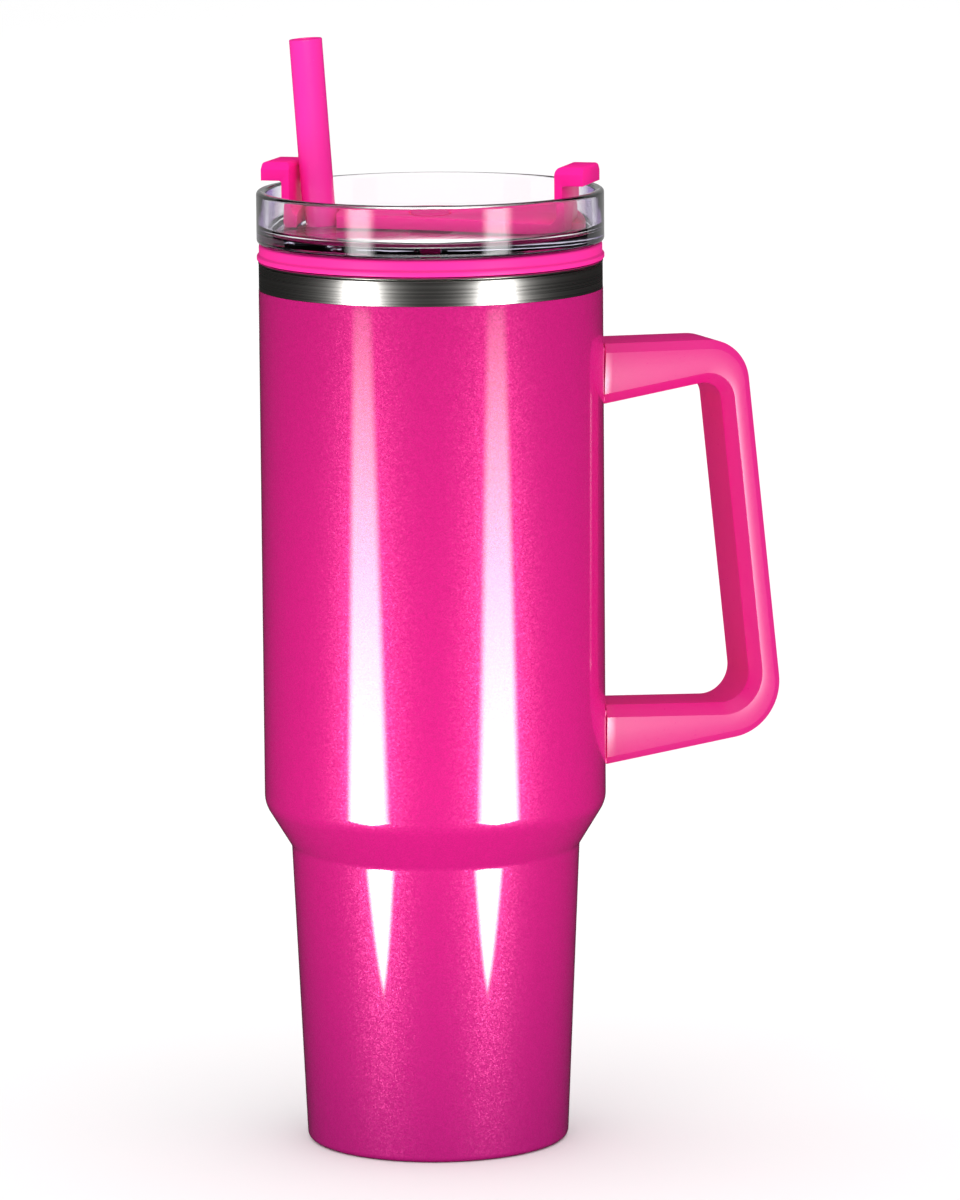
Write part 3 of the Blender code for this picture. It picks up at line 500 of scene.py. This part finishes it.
MOULDED = make_moulded_group()
BRUSHED = make_brushed_group()
PAINT = pearl_paint()
CLEAR = clear_moulding()
BAND_STEEL = brushed_steel("band_steel", (0.70, 0.68, 0.65), (0.42, 0.41, 0.39))
INNER_STEEL = brushed_steel("inner_steel", (0.66, 0.65, 0.64), (0.50, 0.49, 0.48), 5.0)
HARDWARE_STEEL = brushed_steel("hardware_steel", (0.60, 0.60, 0.60), (0.38, 0.38, 0.38), 30.0)
HANDLE_PLASTIC = moulded_plastic(
    "handle_plastic", (0.99, 0.013, 0.31), (0.96, 0.009, 0.28), {"Gloss_Low": 0.24, "Gloss_High": 0.36}
)
COVER_PLASTIC = moulded_plastic(
    "cover_plastic", (0.96, 0.016, 0.30), (0.92, 0.012, 0.27), {"Gloss_Low": 0.26, "Gloss_High": 0.36},
    Specular_IOR_Level=0.03
)
STRAW_PLASTIC = moulded_plastic(
    "straw_plastic", (0.98, 0.024, 0.38), (0.95, 0.018, 0.35), {"Gloss_Low": 0.2, "Gloss_High": 0.3},
    Transmission_Weight=0.12
)
PINK_SILICONE = moulded_plastic(
    "pink_silicone", (0.92, 0.012, 0.32), (0.86, 0.010, 0.28), {"Gloss_Low": 0.32, "Gloss_High": 0.45}
)
CLEAR_SILICONE = moulded_plastic(
    "clear_silicone", (0.80, 0.80, 0.80), (0.70, 0.70, 0.72), {"Gloss_Low": 0.35, "Gloss_High": 0.5},
    Transmission_Weight=0.6, IOR=1.41
)
SOLDER_GLASS = moulded_plastic(
    "solder_glass", (0.10, 0.10, 0.11), (0.06, 0.06, 0.07), {"Gloss_Low": 0.15, "Gloss_High": 0.35}
)


# Cup


def body_outline(inset):
    """The cup's wall between foot and mouth, moved inwards, as its two shoulder corners."""
    rise = inset * SHOULDER_RISE
    low_radius = BODY_RADIUS - FOOT_INSET + FOOT_FLARE - inset
    low = (low_radius, SHOULDER_LOW_Z + rise, SHOULDER_LOW_FILLET)
    high = (BODY_RADIUS - inset, SHOULDER_HIGH_Z + rise, SHOULDER_HIGH_FILLET)
    return low, high


def foot_radius(z):
    return BODY_RADIUS - FOOT_INSET + FOOT_FLARE * z / SHOULDER_LOW_Z


def make_painted_shell():
    """The painted wall: straight foot, rounded shoulder and straight body, turned in under the foot."""
    low, high = body_outline(0)
    inner_low, inner_high = body_outline(STEEL)
    lip = foot_radius(0) - 4.0 * MM
    corners = [
        (lip, 0, 0.2 * MM),
        (foot_radius(0), 0, 1.8 * MM),
        low,
        high,
        (BODY_RADIUS, PAINT_TOP, 0.08 * MM),
        (BODY_RADIUS - STEEL, PAINT_TOP, 0),
        inner_high,
        inner_low,
        (foot_radius(STEEL) - STEEL, STEEL, 1.2 * MM),
        (lip, STEEL, 0.2 * MM),
    ]
    return turned("painted_shell", rounded(corners, 8))


def make_bare_band():
    """The unpainted band under the lip, a paint's thickness inside the painted wall."""
    outer = BODY_RADIUS - 0.1 * MM
    top = SHELL_HIGH.z
    corners = [
        (outer - 0.5 * MM, PAINT_TOP + 0.05 * MM, 0),
        (outer, PAINT_TOP + 0.05 * MM, 0),
        (outer, top, 0.25 * MM),
        (outer - 0.5 * MM, top, 0),
    ]
    return turned("bare_band", rounded(corners, 4))


def make_liner():
    """The steel inside: lip over the shell's top, straight wall, narrower foot and dished floor."""
    low, high = body_outline(LINER_INSET)
    inner_low, inner_high = body_outline(LINER_INSET + STEEL)
    under = LINER_LOW.z
    foot = foot_radius(under) - LINER_INSET
    corners = [
        (0, under, 0),
        (foot, under, 9.6 * MM),
        low,
        high,
        (BODY_RADIUS - LINER_INSET, MOUTH_Z - STEEL, 1.2 * MM),
        (BODY_RADIUS, MOUTH_Z - STEEL, 0.1 * MM),
        (BODY_RADIUS, MOUTH_Z, 0.35 * MM),
        (MOUTH_RADIUS, MOUTH_Z, 1.0 * MM),
        inner_high,
        inner_low,
        (foot - STEEL, under + STEEL, 9.0 * MM),
        (0, under + STEEL, 0),
    ]
    return turned("steel_liner", rounded(corners, 8))


def make_base_disc():
    """The disc that closes the foot, with two shallow rings pressed into it."""
    edge = foot_radius(0) - 4.3 * MM
    r = np.linspace(0, edge, 60)
    rings = sum(np.exp(-(((r - edge * share) / (1.2 * MM)) ** 2)) for share in (0.82, 0.35))
    under = np.column_stack([r, 0.4 * MM * rings])
    top = np.array([(edge, 1.0 * MM), (0, 1.0 * MM)])
    return turned("base_disc", np.concatenate([under, top]), 128)


# Handle


def line_and_fillets(corners, samples):
    """The line through four corners (x, z, fillet), as points. Samples says how many points a straight and
    an arc have, so that two such lines pair up point by point."""
    straight, arc = samples
    places = [np.array(corner[:2], float) for corner in corners]
    pieces = []
    start = places[0]
    turns = np.linspace(0, 1, arc, endpoint=False)
    share = np.linspace(0, 1, straight, endpoint=False)[:, None]
    for index in (1, 2):
        before, here, after = places[index - 1 : index + 2]
        bend, first, last = fillet_arc(before, here, after, corners[index][2], turns)
        pieces += [start + (first - start) * share, bend]
        start = last
    share = np.linspace(0, 1, straight)[:, None]
    pieces.append(start + (places[3] - start) * share)
    return np.concatenate(pieces)


def side_normals(line, sign):
    """Unit normals of a line in its plane, to its left where sign is 1 and to its right where -1."""
    along = np.gradient(line, axis=0)
    along /= np.linalg.norm(along, axis=1, keepdims=True)
    return np.stack([-along[:, 1], along[:, 0]], axis=1) * sign


def make_handle():
    """The handle as one loft: at each step along it the section is an eight-sided ring between the outer
    and the inner line, its long edges chamfered and then rounded. The two ends follow the cup's wall."""
    out_top = BODY_RADIUS + 44.1 * MM
    out_low = BODY_RADIUS + 57.1 * MM
    top, bottom = HANDLE_HIGH.z, HANDLE_LOW.z
    slope = (out_low - out_top) / (top - bottom)
    seat = BODY_RADIUS + 1.2 * MM
    grip_depth = 9.2 * MM
    upper_root, lower_root = 17.6 * MM, 17.4 * MM

    def grip_out(z):
        return out_top + slope * (top - z)

    lower_end = bottom + 7.4 * MM
    inner_low = bottom + lower_root - 2.1 * MM
    inner_high = top - upper_root + 5.4 * MM
    outer = [
        (seat, top, 0),
        (grip_out(top), top - 0.6 * MM, 13.0 * MM),
        (grip_out(lower_end), lower_end, 16.0 * MM),
        (seat, bottom, 0),
    ]
    inner = [
        (seat, top - upper_root, 0),
        (grip_out(inner_high) - grip_depth, inner_high, 5.3 * MM),
        (grip_out(inner_low) - grip_depth, inner_low, 8.5 * MM),
        (seat, bottom + lower_root, 0),
    ]
    samples = (14, 18)
    outer_line = line_and_fillets(outer, samples)
    inner_line = line_and_fillets(inner, samples)
    into_outer = side_normals(outer_line, -1)
    into_inner = side_normals(inner_line, 1)
    half = 11.5 * MM
    outer_cut, inner_cut = 2.4 * MM, 3.2 * MM
    ring = [
        (outer_line, -(half - outer_cut)),
        (outer_line, half - outer_cut),
        (outer_line + into_outer * outer_cut, half),
        (inner_line + into_inner * inner_cut, half),
        (inner_line, half - inner_cut),
        (inner_line, -(half - inner_cut)),
        (inner_line + into_inner * inner_cut, -half),
        (outer_line + into_outer * outer_cut, -half),
    ]
    rows = [np.column_stack([line[:, 0], np.full(len(line), y), line[:, 1]]) for line, y in ring]
    points = np.stack(rows, axis=1)
    count = len(outer_line)
    share = np.ones(count)
    share[: samples[0]] = np.linspace(0, 1, samples[0])
    share[-samples[0]:] = np.linspace(1, 0, samples[0])
    wall = np.sqrt(seat**2 - points[:, :, 1] ** 2)
    points[:, :, 0] += (1 - share[:, None]) * (wall - seat)
    handle = mesh_object("moulded_handle", points.reshape(-1, 3), grid_faces(count, 8, False, True))
    cutters = []
    head_hole, shank_hole = 3.9 * MM, 2.2 * MM
    for name in ("upper", "lower"):
        screw_low, screw_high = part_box(name + "_handle_screw")
        x = (screw_low.x + screw_high.x) / 2
        entry = screw_low.z - 12 * MM
        sink_top = screw_low.z + 2.2 * MM + GAP
        outline = np.array([
            (0, entry),
            (head_hole, entry),
            (head_hole, sink_top),
            (shank_hole, sink_top),
            (shank_hole, screw_high.z + GAP),
            (0, screw_high.z + GAP),
        ])
        cutters.append(turned(name + "_screw_hole", outline, 48, (x, 0.0)))
    return shaped(handle, cutters, bevel=0.55 * MM, bevel_segments=3, angle=30)


# Lid


def make_seal_ring():
    """The silicone ring under the lid: a small proud lip, a flat wall, and a collar with two beads."""
    outer = BODY_RADIUS - 0.1 * MM
    low = RING_LOW.z
    shown = RING_HIGH.z - 4.8 * MM
    collar = COLLAR_INNER + 1.6 * MM
    z = np.linspace(low, shown - 0.2 * MM, 60)
    beads = sum(np.exp(-(((z - low - rise) / (0.55 * MM)) ** 2)) for rise in (2.3 * MM, 6.8 * MM))
    wall = np.column_stack([collar + 0.7 * MM * beads, z])
    shown_side = rounded(
        [
            (collar, shown, 0),
            (outer + 0.5 * MM, shown, 0.45 * MM),
            (outer + 0.5 * MM, shown + 1.3 * MM, 0.5 * MM),
            (outer - 0.1 * MM, shown + 1.9 * MM, 0.5 * MM),
            (outer - 0.1 * MM, RING_HIGH.z, 0.9 * MM),
            (COLLAR_INNER, RING_HIGH.z, 0),
            (COLLAR_INNER, low, 0),
        ]
    )
    return turned("seal_ring", np.concatenate([wall, shown_side]))


def sip_outline(margin=0.0):
    """The drinking hole: a rounded slot across its radius, as (x, y) before it turns to its angle."""
    middle = RECESS_RADIUS - 11.0 * MM
    length = 8.5 * MM + margin
    width = 4.0 * MM + margin
    signs = ((-1, -1), (1, -1), (1, 1), (-1, 1))
    return rounded([(middle + i * width, j * length, width * 0.95) for i, j in signs], 10)


def turned_flat(outline, degrees):
    """An (x, y) outline turned about the cup's axis."""
    c, s = polar(1.0, degrees)
    return outline @ np.array([[c, s], [-s, c]])


def make_clear_lid():
    """Rim, dished floor and plug in one clear moulding, with the straw, drinking, pin and air holes."""
    plug_in = PLUG_RADIUS - 1.6 * MM
    lip = LID_LOW.z + 1.6 * MM
    under = RING_HIGH.z + GAP
    corners = [
        (0, FLOOR_UNDER, 0),
        (plug_in, FLOOR_UNDER, 1.0 * MM),
        (plug_in, LID_LOW.z, 0.4 * MM),
        (PLUG_RADIUS + 1.4 * MM, LID_LOW.z, 0.4 * MM),
        (PLUG_RADIUS + 1.4 * MM, lip, 0.3 * MM),
        (PLUG_RADIUS, lip, 0),
        (PLUG_RADIUS, under, 0.4 * MM),
        (LID_RADIUS, under, 0.9 * MM),
        (LID_RADIUS, RIM_Z, 1.2 * MM),
        (RECESS_RADIUS, RIM_Z, 1.2 * MM),
        (RECESS_RADIUS, FLOOR_TOP, 3.0 * MM),
        (0, FLOOR_TOP, 0),
    ]
    lid = turned("clear_lid", rounded(corners, 8))
    low, high = FLOOR_UNDER - 6 * MM, FLOOR_TOP + 6 * MM

    def hole(name, radius, place, steps):
        outline = np.array([(0, low), (radius, low), (radius, high), (0, high)])
        return turned(name, outline, steps, place)

    cutters = [
        hole("straw_hole", GROMMET_RADIUS + GAP, GROMMET_CENTRE, 64),
        hole("pin_hole", PIN_HOLE_RADIUS, (0.0, 0.0), 48),
        hole("air_hole", 1.5 * MM, polar(20.0 * MM, 125.0), 32),
        prism("drinking_hole", turned_flat(sip_outline(), SIP_ANGLE), low, high),
    ]
    return shaped(lid, cutters, angle=40)


def make_grommet():
    """The clear sleeve round the straw, with a flange that holds it under the floor."""
    bore = GROMMET_RADIUS - 0.9 * MM
    under = FLOOR_UNDER - GAP
    outline = rounded(
        [
            (bore, FLOOR_TOP - 0.4 * MM, 0.15 * MM),
            (GROMMET_RADIUS, FLOOR_TOP - 0.4 * MM, 0.15 * MM),
            (GROMMET_RADIUS, under, 0),
            (GROMMET_RADIUS + 0.5 * MM, under, 0.15 * MM),
            (GROMMET_RADIUS + 0.5 * MM, under - 1.2 * MM, 0.15 * MM),
            (GROMMET_RADIUS, under - 1.2 * MM, 0),
            (bore + 0.5 * MM, GROMMET_LOW.z, 0.1 * MM),
            (bore, GROMMET_LOW.z, 0),
        ],
        4,
    )
    return turned("straw_sleeve", outline, 64, GROMMET_CENTRE)


# Turning cover


def straw_middle(z):
    """The straw's centre at a height."""
    return STRAW_TOP + STRAW_AXIS * ((z - STRAW_TOP[2]) / STRAW_AXIS[2])


def notch_outline():
    """The curved channel the straw leaves through, from its seat past the bar's front edge."""
    seat = straw_middle(COVER_TOP)
    radius = math.hypot(seat[0], seat[1])
    start = math.atan2(seat[1], seat[0])
    half = STRAW_RADIUS + 1.0 * MM
    end = start + math.asin((BAR_HALF_WIDTH + half) / radius) + math.radians(11)
    sweep = np.linspace(start, end, 24)
    way = np.stack([np.cos(sweep), np.sin(sweep)], axis=1)
    outer, inner = (radius + half) * way, (radius - half) * way[::-1]
    turn = np.linspace(start - math.pi, start, 25)[1:-1]
    seat_end = np.stack([seat[0] + half * np.cos(turn), seat[1] + half * np.sin(turn)], axis=1)
    return np.concatenate([outer, inner, seat_end])


def make_cover():
    """Half-disc, bar, ears and hooks. The bar with its ears is one outline, seen along the bar's width
    and carried across it. The half-disc is joined to it, and the notch, pad seat and pin hole are cut."""
    ear_in = RECESS_RADIUS - 7.7 * MM
    ear_out = ear_in + 2.2 * MM
    reach = LID_RADIUS - 2.3 * MM
    hook_under = RIM_Z + 2.4 * MM
    hook_top = COVER_HIGH.z
    right = [
        (ear_out, COVER_UNDER, 1.5 * MM),
        (ear_out, hook_under, 0.8 * MM),
        (reach, hook_under, 0),
        (reach, hook_top, 0.8 * MM),
        (ear_in, hook_top, 1.6 * MM),
        (ear_in, BAR_TOP, 2.5 * MM),
    ]
    left = [(-u, v, fillet) for u, v, fillet in reversed(right)]
    bar = prism("turning_cover", rounded(right + left), -BAR_HALF_WIDTH, BAR_HALF_WIDTH, along="Y")
    hook_cutters = []
    for side in (-1, 1):
        edge = side * BAR_HALF_WIDTH
        inside, outside = edge - side * HOOK_CUT, edge + side * HOOK_CUT
        wedge = np.array([
            (inside, hook_top),
            (inside, hook_top + HOOK_CUT),
            (outside, hook_top + HOOK_CUT),
            (outside, hook_top - HOOK_CUT),
            (edge, hook_top - HOOK_CUT),
        ])
        ends = [np.column_stack([np.full(5, x), wedge]) for x in (-60 * MM, 60 * MM)]
        hook_cutters.append(mesh_object("hook_wedge", np.concatenate(ends), grid_faces(2, 5, False, True)))
    t = np.linspace(0, math.pi, 97)
    edge_radius = RECESS_RADIUS - 2.2 * MM
    half_circle = edge_radius * np.stack([np.cos(t), np.sin(t)], axis=1)
    disc = prism("half_disc", half_circle, COVER_UNDER, COVER_TOP)
    shaped(bar, hook_cutters, joins=[disc])
    bar.data.transform(Matrix.Rotation(math.radians(BAR_ANGLE - 180), 4, "Z"))
    low, high = COVER_UNDER - 2 * MM, COVER_TOP + 3 * MM
    pocket_top = COVER_UNDER + 1.3 * MM
    sink_floor = BAR_TOP - PIN_HEAD_HEIGHT
    sink_radius = PIN_HEAD_RADIUS + GAP
    sink = np.array([
        (0, low),
        (PIN_HOLE_RADIUS, low),
        (PIN_HOLE_RADIUS, sink_floor),
        (sink_radius, sink_floor),
        (sink_radius, high),
        (0, high),
    ])
    cutters = [
        prism("notch", notch_outline(), low, high),
        prism("pad_seat", turned_flat(sip_outline(2.8 * MM), SIP_ANGLE), low, pocket_top),
        turned("pin_seat", sink, 64),
    ]
    return shaped(bar, cutters, bevel=0.4 * MM)


def make_pin_head():
    """The pin through the cover: a domed head with a thin ring groove, a stem and a snap foot."""
    head = PIN_HIGH.z
    r = np.linspace(0, 5.6 * MM, 30)
    dome = 0.25 * MM * (r / (5.6 * MM)) ** 2 + 0.12 * MM * np.exp(-(((r - 3.9 * MM) / (0.35 * MM)) ** 2))
    top = np.column_stack([r, head - dome])
    under = head - PIN_HEAD_HEIGHT
    foot = PIN_LOW.z
    side = rounded(
        [
            (PIN_HEAD_RADIUS, head - 0.35 * MM, 0.2 * MM),
            (PIN_HEAD_RADIUS, under, 0.1 * MM),
            (3.0 * MM, under, 0),
            (3.0 * MM, foot + 1.5 * MM, 0),
            (4.0 * MM, foot + 1.5 * MM, 0.1 * MM),
            (4.0 * MM, foot, 0.5 * MM),
            (0, foot, 0),
        ],
        4,
    )
    return turned("pivot_head", np.concatenate([top, side]), 96)


# Straw


def make_straw():
    """A tube along its leaning axis: each point (r, s) of its wall's outline goes to the axis at s, plus
    r times a unit vector that turns square to the axis. Both ends are cut flat with softened lips."""
    low = straw_middle(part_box("straw")[0].z + STRAW_RADIUS * 0.06)
    length = float(np.linalg.norm(STRAW_TOP - low))
    bore = STRAW_RADIUS - 0.9 * MM
    corners = [(bore, 0), (STRAW_RADIUS, 0), (STRAW_RADIUS, length), (bore, length)]
    outline = rounded([(r, along, 0.3 * MM) for r, along in corners], 5)
    side = np.cross(STRAW_AXIS, (0.0, 1.0, 0.0))
    side /= np.linalg.norm(side)
    across = np.cross(STRAW_AXIS, side)
    t = np.arange(96) * (math.tau / 96)
    around = side * np.cos(t)[:, None] + across * np.sin(t)[:, None]
    points = low + outline[:, 1, None, None] * STRAW_AXIS + outline[:, 0, None, None] * around
    return mesh_object("straw_tube", points.reshape(-1, 3), grid_faces(len(outline), 96, True, True))


def straw_facts():
    """The straw's top centre and its radius, from its CAD points."""
    verts = frame["nodes"]["straw"].data.vertices
    points = np.empty(len(verts) * 3)
    verts.foreach_get("co", points)
    points = points.reshape(-1, 3)
    along = points @ STRAW_AXIS
    top = points[along > along.max() - 0.1 * MM].mean(axis=0)
    top += STRAW_AXIS * (along.max() - top @ STRAW_AXIS)
    off = points - top
    away = np.linalg.norm(off - np.outer(off @ STRAW_AXIS, STRAW_AXIS), axis=1)
    return top, float(away.max())


STRAW_TOP, STRAW_RADIUS = straw_facts()
GROMMET_CENTRE = ((GROMMET_LOW.x + GROMMET_HIGH.x) / 2, (GROMMET_LOW.y + GROMMET_HIGH.y) / 2)
GROMMET_RADIUS = (GROMMET_HIGH.x - GROMMET_LOW.x) / 2 - 0.5 * MM


def dress_cad_nodes():
    """Gives each CAD node that stays in view its own material."""
    steel = ("shell_bottom", "getter", "upper_bracket", "lower_bracket", "pivot_clip")
    screws = ("upper_handle_screw", "lower_handle_screw")
    looks = dict.fromkeys(steel + screws, HARDWARE_STEEL)
    looks |= dict.fromkeys(("upper_pad", "lower_pad"), PINK_SILICONE)
    looks |= dict.fromkeys(("pivot_seal", "sip_pad"), CLEAR_SILICONE)
    looks["vacuum_plug"] = SOLDER_GLASS
    for name, look in looks.items():
        node = frame["nodes"][name]
        if node.material_slots:
            node.material_slots[0].material = look
        else:
            node.data.materials.append(look)


def build_pieces():
    on_cad(make_painted_shell(), PAINT, "cup", "body_paint", "outer_shell")
    on_cad(make_bare_band(), BAND_STEEL, "cup", "steel", "outer_shell")
    on_cad(make_liner(), INNER_STEEL, "cup", "steel", "inner_liner")
    on_cad(make_base_disc(), INNER_STEEL, "cup", "steel", "base_cover")
    on_cad(make_handle(), HANDLE_PLASTIC, "cup", "handle_plastic", "handle")
    on_cad(make_seal_ring(), PINK_SILICONE, "lid", "seal_silicone", "lid_seal")
    on_cad(make_clear_lid(), CLEAR, "lid", "clear_plastic", "lid_body")
    on_cad(make_grommet(), CLEAR_SILICONE, "lid", "clear_silicone", "straw_grommet")
    on_cad(make_cover(), COVER_PLASTIC, "cover", "cover_plastic", "cover")
    on_cad(make_pin_head(), COVER_PLASTIC, "cover", "cover_plastic", "pivot_pin")
    on_cad(make_straw(), STRAW_PLASTIC, "straw", "straw_plastic", "straw")


# Studio


CAMERA_AZIMUTH = -20.0
STRIP_DISTANCE = 0.34
LOW_STRIP_Z = 0.09
HIGH_STRIP_Z = 0.21
STRIP_WATTS = 4.0
HIGH_STRIP_WATTS = 0.8
FLOOR_WATTS = 390.0
CUP_LAMP_WATTS = 0.09
WORLD_STRENGTH = 0.86
WORLD_IN_REFLECTIONS = 0.02
WARM = (0.97, 1.0, 0.88)
TARGET = Vector((12.59, -4.58, 157.86)) * MM
CAMERA_PLACE = Vector((-702.5, -1969.4, 489.4)) * MM
CAMERA_ROLL = -0.45
CAMERA_LENS = 219.6


def add_camera():
    camera = bpy.data.objects.new("camera", bpy.data.cameras.new("camera"))
    bpy.context.scene.collection.objects.link(camera)
    camera.data.lens = CAMERA_LENS
    camera.data.sensor_width = 36.0
    camera.data.clip_start = 0.05
    camera.data.clip_end = 100.0
    camera.location = CAMERA_PLACE
    aim = (TARGET - CAMERA_PLACE).to_track_quat("-Z", "Y")
    roll = Matrix.Rotation(math.radians(CAMERA_ROLL), 4, "Z").to_quaternion()
    camera.rotation_mode = "QUATERNION"
    camera.rotation_quaternion = aim @ roll
    bpy.context.scene.camera = camera


def toward(degrees, distance, height):
    """A place at an angle to the right of the camera's own direction, round the cup's axis."""
    heading = math.radians(CAMERA_AZIMUTH - 90 + degrees)
    return Vector((distance * math.cos(heading), distance * math.sin(heading), height))


def add_panel(name, place, aim, width, height, watts, color=(1.0, 1.0, 1.0)):
    light = bpy.data.lights.new(name, "AREA")
    light.shape = "RECTANGLE"
    light.size = width
    light.size_y = height
    light.energy = watts
    light.color = color
    obj = bpy.data.objects.new(name, light)
    bpy.context.scene.collection.objects.link(obj)
    obj.location = place
    obj.rotation_mode = "QUATERNION"
    obj.rotation_quaternion = (Vector(aim) - place).to_track_quat("-Z", "Y")
    return obj


def panel_place(light):
    """The node tree of a panel, and the outputs that say how far across (X) and up (Y) it a point is."""
    light.use_nodes = True
    tree = light.node_tree
    return tree, parts_of(tree, tree.nodes.new("ShaderNodeNewGeometry").outputs["Parametric"])


def shape_panel(light, low, high, widest):
    """Makes a panel's glow change evenly from its lower to its upper edge, and narrows it to a kite. The
    kite has its full width at the height widest, where 0 is the lower edge and 1 the upper. It ends in a
    blunt point below, and is half as wide at the top."""
    tree, place = panel_place(light)
    rise = ranged(tree, place["Y"], low, high)
    below = maths(tree, "POWER", ranged(tree, place["Y"], 0.0, 1.0, 0.0, widest), 0.6)
    above = ranged(tree, place["Y"], 1.0, 0.5, widest, 1.0)
    width = maths(tree, "MINIMUM", below, above)
    from_middle = maths(tree, "SUBTRACT", 0.5, maths(tree, "PINGPONG", place["X"], 0.5))
    inside = maths(tree, "SUBTRACT", maths(tree, "MULTIPLY", width, 0.5), from_middle)
    side = ranged(tree, inside, 0.0, 1.0, 0.0, 0.18, "SMOOTHSTEP")
    tree.links.new(maths(tree, "MULTIPLY", rise, side), tree.nodes["Emission"].inputs["Strength"])


def soften_panel(light):
    """Softens a panel's glow at its two sides."""
    tree, place = panel_place(light)
    from_side = maths(tree, "PINGPONG", place["X"], 0.5)
    side = ranged(tree, from_side, 0.0, 1.0, 0.0, 0.35, "SMOOTHSTEP")
    tree.links.new(side, tree.nodes["Emission"].inputs["Strength"])


def link_light(light, names, state):
    """Keeps a light off the named objects (EXCLUDE), or on them alone (INCLUDE)."""
    group = bpy.data.collections.new(light.name + "_receivers")
    for name in names:
        group.objects.link(bpy.data.objects[name])
    light.light_linking.receiver_collection = group
    for link in group.collection_objects:
        link.light_linking.link_state = state


def add_floor():
    """A broad pale floor, very slightly uneven in tone."""
    size = 30.0
    corners = np.array([(-size, -size, 0), (size, -size, 0), (size, size, 0), (-size, size, 0)], float)
    floor = mesh_object("floor", corners, np.array([[0, 1, 2, 3]]))
    look, tree, shader = material("pale_floor", Roughness=0.7, Specular_IOR_Level=0.2)
    tone = texture(tree, "Noise", 1.5).outputs["Fac"]
    shade = mixed(tree, tone, (0.90, 0.90, 0.90), (0.93, 0.93, 0.93))
    tree.links.new(shade, shader.inputs["Base Color"])
    floor.data.materials.append(look)
    floor.visible_glossy = False


def add_world():
    """White seen straight on and through clear plastic, and very dim in mirror-like reflections."""
    world = bpy.data.worlds.new("studio")
    bpy.context.scene.world = world
    world.use_nodes = True
    tree = world.node_tree
    background = tree.nodes["Background"]
    background.inputs["Color"].default_value = (1.0, 1.0, 1.0, 1.0)
    glossy = tree.nodes.new("ShaderNodeLightPath").outputs["Is Glossy Ray"]
    strength = ranged(tree, glossy, WORLD_STRENGTH, WORLD_IN_REFLECTIONS)
    tree.links.new(strength, background.inputs["Strength"])


def add_streak_lights():
    """Two low strips make the long streaks on the paint. Two more, higher up, light only the steel band
    and the clear lid."""
    unlit = ("floor", "turning_cover", "bare_band", "clear_lid", "moulded_handle")
    for name, angle in (("left", -43), ("right", 41)):
        place = toward(angle, STRIP_DISTANCE, LOW_STRIP_Z)
        strip = add_panel(name + "_strip", place, (0, 0, LOW_STRIP_Z), 0.20, 0.30, STRIP_WATTS, WARM)
        shape_panel(strip.data, 1.0, 0.05, 0.24)
        link_light(strip, unlit, "EXCLUDE")
    for name, angle in (("high_left", -44), ("high_right", 42)):
        place = toward(angle, STRIP_DISTANCE, HIGH_STRIP_Z)
        strip = add_panel(name + "_strip", place, (0, 0, HIGH_STRIP_Z), 0.14, 0.16, HIGH_STRIP_WATTS)
        strip.visible_transmission = False
        soften_panel(strip.data)
        link_light(strip, ("bare_band", "clear_lid"), "INCLUDE")


def add_soft_lights():
    """Panels that each light a few pieces: the cup from behind, all but the floor from above, the floor,
    the handle's gloss, and the cover with the straw."""
    middle = Vector((0, 0, 0.10))
    back = add_panel("back_strip", toward(180, 0.9, 0.4), middle, 0.25, 0.6, 1.0)
    link_light(back, ("painted_shell", "bare_band"), "INCLUDE")
    overhead = add_panel("overhead", Vector((0.0, -0.3, 1.4)), middle, 1.2, 1.2, 2.0)
    link_light(overhead, ("floor",), "EXCLUDE")
    wash = add_panel("floor_wash", Vector((0.0, 0.0, 6.0)), (0, 0.001, 0), 14.0, 14.0, FLOOR_WATTS)
    link_light(wash, ("floor",), "INCLUDE")
    handle_glow = add_panel("handle_glow", toward(20, 0.9, 0.02), (0.08, 0, 0.15), 0.6, 0.16, 20.0)
    handle_glow.visible_diffuse = False
    link_light(handle_glow, ("moulded_handle",), "INCLUDE")
    cover_glow = add_panel("cover_glow", toward(0, 0.9, 0.75), (0, 0, 0.26), 0.8, 0.5, 5.0)
    link_light(cover_glow, ("turning_cover", "straw_tube"), "INCLUDE")


def add_clear_lid_lights():
    """A pale backdrop that only the clear lid mirrors, and a small lamp in the cup, in place of the
    daylight that would reach the steel through the lid."""
    backdrop = add_panel("lid_backdrop", toward(180, 1.5, 0.4), (0, 0, 0.27), 4.0, 1.6, 8.0)
    backdrop.visible_camera = False
    backdrop.visible_transmission = False
    link_light(backdrop, ("clear_lid",), "INCLUDE")
    lamp = bpy.data.objects.new("cup_glow", bpy.data.lights.new("cup_glow", "POINT"))
    bpy.context.scene.collection.objects.link(lamp)
    lamp.data.energy = CUP_LAMP_WATTS
    lamp.data.shadow_soft_size = 0.02
    lamp.location = (0, 0, 0.2)
    lamp.visible_camera = False
    lamp.visible_transmission = False
    link_light(lamp, ("steel_liner", "seal_ring"), "INCLUDE")


def build_studio():
    add_camera()
    add_floor()
    add_world()
    add_streak_lights()
    add_soft_lights()
    add_clear_lid_lights()
    view = bpy.context.scene.view_settings
    view.view_transform = "Standard"
    view.look = "None"


build_pieces()
dress_cad_nodes()
build_studio()
